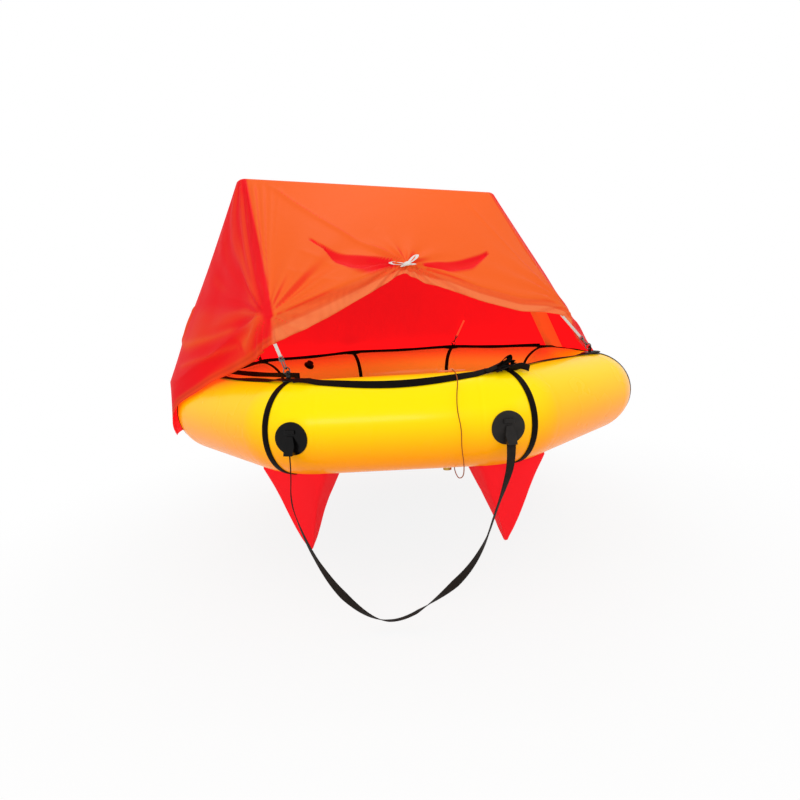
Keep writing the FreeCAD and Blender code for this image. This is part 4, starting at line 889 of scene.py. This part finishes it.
def inner_line(names, steps):
    """Path and face direction of the inner lifeline: straight between corners, with a small sag."""
    share = np.arange(steps) / steps
    places = np.array([on_tube(corner_distance(name), 90.0, 0.0) for name in names])
    outward = np.array([along_tube(np.array(corner_distance(name)))[1] for name in names])
    places[:, :2] -= crest_inset * outward
    places[:, 2] = tube_radius + math.sqrt(pad_top ** 2 - crest_inset ** 2) + above_pad
    path = places[:-1, None] + np.diff(places, axis=0)[:, None] * share[None, :, None]
    path[..., 2] -= 4.0 * np.sin(np.pi * share) ** 2
    level = unit(outward[1:] + outward[:-1])
    roll = np.radians(35.0) * np.sin(2 * np.pi * share) * np.sin(np.pi * share)
    face = np.zeros_like(path)
    face[..., :2] = level[:, None] * np.cos(roll)[None, :, None]
    face[..., 2] = np.sin(roll)
    return path.reshape(-1, 3), face.reshape(-1, 3)


inner_path, inner_face = inner_line(("d", "n", "m", "f", "l", "a"), 48)
inner_lifeline = webbing("lifeline_inner", inner_path, inner_face, inner_width, lifeline_thickness,
                         black_webbing)
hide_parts("inner_lifeline")

# %% [markdown]
# The floor is a sheet welded inside the tube, which sags a little between its edges.

# %% Floor sheet
floor_inset, floor_top_height, floor_thickness = 53.0, 10.6, 2.2
floor_along, floor_share = np.meshgrid(np.arange(320) * 8 * pitch / 320, np.linspace(1.0, 0.0, 40),
                                       indexing="ij")
floor_centre, floor_outward = along_tube(floor_along)
floor_plan = (floor_centre - floor_inset * floor_outward) * floor_share[..., None]
floor_wave = 0.6 * np.sin(floor_plan[..., 0] / 60.0) * np.sin(floor_plan[..., 1] / 75.0) * (1 - floor_share)
floor_top = np.concatenate([floor_plan, (floor_top_height + floor_wave)[..., None]], -1)
floor_under = floor_top[:, ::-1] - np.array([0.0, 0.0, floor_thickness])
floor_shell = np.concatenate([floor_under, floor_top], axis=1)[:, 1:-1]
floor_piece = surface("floor_sheet", floor_shell, floor_rubber, True, True)
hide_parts("floor")

# %% [markdown]
# Ballast bags hang under the corners and fill with water when the raft is afloat. In the air they
# hang slack: four cloth sides that draw in towards a weighted tip. The section is a rounded
# rectangle whose sides pull in. A short table holds, at a few heights, half its width and half its
# depth.

# %% Ballast bags
bag_table = np.array([(0.0, 116.0, 66.0), (-108.0, 66.0, 44.0), (-198.0, 33.0, 26.0), (-276.0, 5.0, 5.0)])
bag_shift = {"a": -24.0, "b": 28.0}
bag_lift, bag_inset = 7.7, 30.0


def bag_surface(name):
    """Rounded-rectangle sections down the bag, drawn in between the corners and creased down the
    sides."""
    angle = corner_angle(name)
    height, turn = np.meshgrid(np.linspace(4.0, -276.0, 70), 2 * np.pi * np.arange(96) / 96, indexing="ij")
    half_width = np.interp(-height, -bag_table[:, 0], bag_table[:, 1])
    half_depth = np.interp(-height, -bag_table[:, 0], bag_table[:, 2])
    x, y = squared(np.cos(turn), 0.28), squared(np.sin(turn), 0.28)
    slack = smooth(-height / 120.0) * (1 - smooth((-height - 230.0) / 46.0))
    crease = slack * 3.0 * np.sin(3 * turn + height / 55.0 + angle)
    across = y * half_width - crease * np.sign(y) * 0.6 + bag_shift.get(name, 0.0)
    depth = x * half_depth - crease * np.sign(x)
    radial = bend_reach + corner_bend - bag_inset + depth
    return np.stack([radial * math.cos(angle) - across * math.sin(angle),
                     radial * math.sin(angle) + across * math.cos(angle), height + bag_lift], -1)


for name in ("a", "b", "m", "n"):
    bag_points = bag_surface(name)
    bag_colour = np.broadcast_to(linear("#ED1C24"), bag_points.shape)
    bag = surface("bag_" + name, bag_points, bag_cloth, False, True, cap=True, colour=bag_colour,
                  colour_name="cloth_colour")
    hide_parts("ballast_bag_" + name)

# %% [markdown]
# The boarding strap hangs in a wide loop between two rubber pads. It is a flat woven strap, so it
# turns edge-on in places: its line is one smooth spline, and its face turns by an angle that a table
# gives along the way.

# %% Boarding strap
boarding_half_spacing = 293.0
boarding_height = 136.0
pad_thickness = 4.0
strap_width, strap_thickness = 25.0, 2.2


def boarding_pad(side):
    """Middle of a boarding pad on the skin and the way out of it: side -1 left, 1 right."""
    bend_x, bend_y = bend_reach * math.sin(math.pi / 8), bend_reach * math.cos(math.pi / 8)
    lean = math.asin((boarding_half_spacing - bend_x) / (corner_bend + tube_radius))
    outward = np.array([side * math.sin(lean), -math.cos(lean), 0.0])
    middle = np.array([side * bend_x, -bend_y, boarding_height])
    return middle + outward * (corner_bend + tube_radius), outward


def spline(name, points):
    """Points along the smooth NURBS line through a route, in millimetres."""
    curve = bpy.data.curves.new(name, "CURVE")
    curve.dimensions = "3D"
    curve.resolution_u = 16
    route = curve.splines.new("NURBS")
    route.points.add(len(points) - 1)
    for point, place in zip(route.points, points):
        point.co = (*(np.asarray(place) * MM), 1.0)
    route.order_u = 3
    route.use_endpoint_u = True
    holder = bpy.data.objects.new(name, curve)
    read = bpy.data.meshes.new_from_object(holder)
    path = np.empty(len(read.vertices) * 3)
    read.vertices.foreach_get("co", path)
    bpy.data.meshes.remove(read)
    bpy.data.objects.remove(holder)
    bpy.data.curves.remove(curve)
    return path.reshape(-1, 3) / MM


def strap_end(side):
    """Where the strap leaves its pad: below the pad's middle and half its width off the rubber."""
    middle, outward = boarding_pad(side)
    return middle + outward * (pad_thickness + strap_width / 2) + np.array([0.0, 0.0, -40.0])


left_end, right_end = strap_end(-1), strap_end(1)
strap_hang = [(-1.044, -34.0), (-0.976, -112.0), (-0.86, -205.0), (-0.642, -315.0), (-0.341, -396.0),
              (-0.061, -400.0), (0.3, -334.0), (0.573, -262.0), (0.751, -178.0), (0.853, -90.0), (0.949, -15.0)]
strap_drop = np.array([0.0, 0.0, -50.0])
strap_route = [left_end, left_end + strap_drop]
strap_route += [np.array([share * boarding_half_spacing, left_end[1] - 1.0, z]) for share, z in strap_hang]
strap_route += [right_end + strap_drop, right_end]
strap_path = spline("strap_route", strap_route)
strap_share = np.linspace(0, 1, len(strap_path))
strap_turn = np.radians(np.interp(strap_share, [0.0, 0.12, 0.27, 0.35, 0.46, 0.53, 0.62, 0.75, 0.84, 1.0],
                                  [80.0, 78.0, 46.0, 5.0, 68.0, 80.0, 5.0, 66.0, 60.0, 5.0]))
strap_tangent = unit(np.gradient(strap_path, axis=0))
strap_front = unit(strap_tangent[:, 1:2] * strap_tangent - np.array([0.0, 1.0, 0.0]))
strap_side = np.cross(strap_tangent, strap_front)
strap_face = np.cos(strap_turn)[:, None] * strap_front + np.sin(strap_turn)[:, None] * strap_side
strap = webbing("boarding_strap_webbing", strap_path, strap_face, strap_width, strap_thickness, grey_webbing)
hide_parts("boarding_strap")

# %% [markdown]
# The firing line is a thin braided line from the knot on the front tube, over and under it to the
# lever of the gas cylinder. Its route is given from the middle of the front side.

# %% Firing line
line_diameter = 3.0
line_over = [(160.0, -10.0, 289.0), (166.0, -44.0, 285.0), (168.0, -84.0, 266.0), (160.0, -118.0, 234.0),
             (157.0, -142.0, 193.0), (166.0, -152.0, 144.0), (164.0, -152.0, 94.0), (170.0, -147.0, 46.0),
             (170.0, -122.0, 4.0), (161.0, -80.0, -16.0), (158.0, -28.0, -20.0), (159.0, 30.0, -24.0),
             (163.0, 88.0, -31.0), (170.0, 144.0, -38.0), (178.0, 196.0, -46.0), (181.0, 236.0, -52.0)]
line_end = np.array([163.9, -450.335, -24.6 - 40.0 * math.cos(math.radians(30.0))])
line_route = [np.array([x, -apothem + offset, z]) for x, offset, z in line_over]
line_route += [line_end + np.array(step) for step in ((16.0, -19.0, 0.0), (14.0, 0.0, 0.0), (0.0, 0.0, 0.0))]
line_path = spline("line_route", line_route)
line_piece = carried("firing_line_cord", line_path, (0.3, 0.8, 0.5), line_diameter, line_diameter, line_cord,
                     sides=8)
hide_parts("firing_line")

# %% [markdown]
# Each tie ends in a tape between the snap hook's eye and the cloth. The tape's line follows from the
# hole in the pad's tab and the point on the cloth that it pulls, and its face is turned to the
# entrance. The two rear tapes end on the seam inside the tent, the two front ones at the hem.

# %% Tapes of the ties
tab_hole_height = 298.5
hook_reach = 58.0
seam_way = 0.76
tie_targets = {"a": cloth_point(0, 0.0, 1), "c": cloth_point(0, 1.0, 1)}
for name, part, share in (("n", 1, 1.0), ("f", 3, 0.0)):
    leave = canopy_top(np.array(part), np.array(share), arch_lean)
    seam_place = leave + (cloth_point(part, share) - leave) * seam_way
    tie_targets[name] = seam_place - 9.0 * unit(seam_place * np.array([1.0, 1.0, 0.0]))
for name, target in tie_targets.items():
    middle, outward = along_tube(np.array(corner_distance(name)))
    forward_way = np.array([-outward[1], outward[0]])
    hole = np.append(middle + forward_way * (-28.0 if name == "a" else 0.0), tab_hole_height)
    way = unit(target - hole)
    near = hole + way * hook_reach
    far = cloth_point(0, 0.955, 1) + np.array([0.0, 0.0, 4.0]) if name == "c" else target - way
    tape_path = near + (far - near) * np.linspace(0, 1, 24)[:, None]
    tape_finish = white_tape if name in ("a", "c") else orange_tape
    tape = webbing("tape_" + name, tape_path, (0.0, -1.0, 0.25), 10.0, 1.5, tape_finish)
    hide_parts("tie_tape_" + name)

# %% [markdown]
# The bow on the hem is tied from flat white tape: two loops, two short ends and a knot. Each loop is a
# closed curve in the plane of the bow, wide in the middle and pinched at the knot. Its path is
# r = sin of the way along, turned to its own side.

# %% Bow on the hem


def bow_axes():
    """Middle of the bow and its axes: along the hem, up the cloth and out of it."""
    before, middle, after = (cloth_point(0, knot_share + step) for step in (-0.1, 0.0, 0.1))
    out = np.array([0.0, -0.6, 0.8])
    along = unit(after - before - (after - before) @ out * out)
    return middle + out * 9.0, along, np.cross(out, along), out


bow_middle, bow_along, bow_up, bow_out = bow_axes()


def bow_tape(name, reach, rise, belly, width):
    """A loop of tape: out along (reach, rise) and back, belly high in the middle, off the cloth."""
    way = np.linspace(0, 1, 60)[:, None]
    far, high = np.sin(np.pi * way), np.sin(2 * np.pi * way)
    path = bow_middle + far * (reach * bow_along + rise * bow_up)
    path = path + belly * high * bow_up + (4.0 + 8.0 * far) * bow_out
    piece = webbing(name, path, bow_out + 0.5 * bow_up, width, 1.6, bow_cord)
    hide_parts("door_tie")


bow_tape("bow_loop_left", -56.0, 18.0, 10.0, 13.0)
bow_tape("bow_loop_right", 46.0, 32.0, 10.0, 13.0)
bow_tape("bow_end_left", -26.0, -20.0, 3.0, 11.0)
bow_tape("bow_end_right", 20.0, -24.0, 3.0, 11.0)
knot_round, knot_over = np.meshgrid(2 * np.pi * np.arange(24) / 24, np.pi * np.linspace(0.02, 0.98, 14),
                                    indexing="ij")
knot_plane = 13.0 * np.cos(knot_round)[..., None] * bow_along + 10.0 * np.sin(knot_round)[..., None] * bow_up
knot_points = bow_middle + 6.0 * bow_out + np.sin(knot_over)[..., None] * knot_plane
knot_points = knot_points + 7.0 * np.cos(knot_over)[..., None] * bow_out
bow_knot = surface("bow_knot", knot_points.transpose(1, 0, 2), bow_cord, False, True, cap=True)
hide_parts("door_tie")

# %% [markdown]
# Spare webbing is bunched at the buckle in four folded lengths. Their points are given along the
# tube, out of the raft and up from its crest, and a smooth line runs through them.

# %% Spare webbing at the buckle


def at_buckle(points):
    """From steps along the tube, outward and up at corner b to places."""
    angle = corner_angle("b")
    outward = np.array([math.cos(angle), math.sin(angle), 0.0])
    forward_way = np.array([-math.sin(angle), math.cos(angle), 0.0])
    crest = outward * (bend_reach + corner_bend) + np.array([0.0, 0.0, 2 * tube_radius])
    return [crest + a * forward_way + o * outward + np.array([0.0, 0.0, z]) for a, o, z in points]


slack_folds = [
    [(-70, 40, 1), (-46, 38, 8), (-20, 34, 16), (6, 30, 25), (26, 26, 28), (36, 24, 20), (26, 30, 12),
     (4, 36, 10)],
    [(-44, 50, 0), (-20, 50, 6), (4, 46, 12), (30, 42, 16), (52, 38, 14), (58, 38, 7), (40, 44, 3),
     (14, 50, 4)],
    [(-30, 34, 14), (-10, 30, 26), (8, 26, 36), (22, 20, 38), (24, 18, 28), (10, 26, 20), (-8, 34, 14)],
    [(-6, 56, 2), (16, 54, 8), (40, 50, 10), (62, 46, 5), (74, 44, -1)]]
for index, points in enumerate(slack_folds):
    slack_path = spline("slack_route", at_buckle(points))
    turned_face = np.radians(np.linspace(10.0, 70.0, len(slack_path)) + 25.0 * index)[:, None]
    fold_face = np.cos(turned_face) * [0.2, -0.6, 0.78] + np.sin(turned_face) * [0.1, 0.78, 0.6]
    slack_piece = webbing("slack_webbing_" + str(index), slack_path, fold_face, 19.0, 1.8, black_webbing)
    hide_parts("outer_lifeline")

# %% [markdown]
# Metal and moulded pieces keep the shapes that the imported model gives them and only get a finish.

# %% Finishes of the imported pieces
finishes = {"corner_patch": black_rubber, "tie_ring": steel, "snap_hook": steel, "hook_gate": steel,
            "lifeline_buckle": black_nylon, "boarding_patch_left": black_rubber,
            "boarding_patch_right": grey_rubber, "valve": black_nylon, "firing_head": brass,
            "firing_lever": brass, "inlet_fitting": brass, "gas_cylinder": cylinder_paint,
            "cylinder_sling": black_webbing, "inflation_hose": black_rubber, "line_knot": knot_cord}
for name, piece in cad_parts.items():
    for start, finish in finishes.items():
        if name.startswith(start):
            piece.data.materials.clear()
            piece.data.materials.append(finish)

# %% [markdown]
# A studio picture on white: the floor and the background are white to the camera and in reflections,
# and give the raft less light than that. Three soft lamps do the rest: a narrow one above makes the
# highlight on the tube, a wide one stands behind the camera and a weak one at the right.

# %% Floor, light and background
floor_height, floor_reach = -0.432, 60.0


def seen_rays(tree):
    """Output that is 1 for camera rays and reflections and 0 for the light that falls on the raft."""
    rays = add(tree, "LightPath")
    either = add(tree, "Math", {"operation": "MAXIMUM"}, Value=rays.outputs["Is Camera Ray"],
                 Value_001=rays.outputs["Is Glossy Ray"])
    return either.outputs["Value"]


def white_floor():
    """Pale floor that keeps the shadow near the raft and fades to the plain background further out."""
    material, tree, shader = new_material("studio_floor_paper")
    plug(tree, shader, Base_Color=(0.86, 0.86, 0.86), Roughness=0.9)
    place = add(tree, "TexCoord")
    far = add(tree, "VectorMath", {"operation": "LENGTH"}, Vector=place.outputs["Object"])
    fade = add(tree, "MapRange", {"interpolation_type": "SMOOTHSTEP"}, Value=far.outputs["Value"],
               From_Min=0.6, From_Max=2.2, To_Min=0.86, To_Max=1.0)
    plain = add(tree, "Math", {"operation": "MULTIPLY"}, Value=seen_rays(tree),
                Value_001=fade.outputs["Result"])
    glow = add(tree, "Emission", Color=(1.0, 1.0, 1.0), Strength=1.0)
    both = add(tree, "MixShader", Fac=plain.outputs["Value"], Shader=shader.outputs["BSDF"],
               Shader_001=glow.outputs["Emission"])
    output = next(node for node in tree.nodes if node.type == "OUTPUT_MATERIAL")
    tree.links.new(both.outputs["Shader"], output.inputs["Surface"])
    return material


floor_mesh = bpy.data.meshes.new("studio_floor")
floor_corners = [(x * floor_reach, y * floor_reach, floor_height)
                 for x, y in ((-1, -1), (1, -1), (1, 1), (-1, 1))]
floor_mesh.from_pydata(floor_corners, [], [(0, 1, 2, 3)])
studio_floor = bpy.data.objects.new("studio_floor", floor_mesh)
bpy.context.scene.collection.objects.link(studio_floor)
floor_mesh.materials.append(white_floor())


def lamp(name, place, target, size, power):
    """Rectangular soft lamp that looks at a target."""
    data = bpy.data.lights.new(name, "AREA")
    data.shape = "RECTANGLE"
    data.size, data.size_y = size
    data.energy = power
    data.spread = math.radians(180.0)
    lamp_object = bpy.data.objects.new(name, data)
    bpy.context.scene.collection.objects.link(lamp_object)
    place, target = np.array(place), np.array(target)
    back = unit(place - target)
    side = unit(np.cross([0.0, 0.0, 1.0], back))
    lamp_object.matrix_world = placed_axes(side, np.cross(back, side), back, place)


lamp("lamp_above", (0.09, 0.16, 2.15), (0.06, -0.8, 0.26), (0.62, 0.2), 5.5)
lamp("lamp_front", (-0.55, -4.1, 1.5), (0.0, -0.6, 0.4), (1.6, 0.7), 30.0)
lamp("lamp_side", (3.2, -2.2, 1.8), (0.2, -0.3, 0.4), (1.6, 1.6), 10.0)
world = bpy.data.worlds.new("studio")
world.use_nodes = True
world_tree = world.node_tree
world_tree.nodes.clear()
strength = add(world_tree, "MapRange", Value=seen_rays(world_tree), To_Min=0.66, To_Max=1.0)
background = add(world_tree, "Background", Color=(1.0, 1.0, 1.0), Strength=strength.outputs["Result"])
add(world_tree, "OutputWorld", Surface=background.outputs["Background"])
bpy.context.scene.world = world
bpy.context.scene.view_settings.view_transform = "Standard"
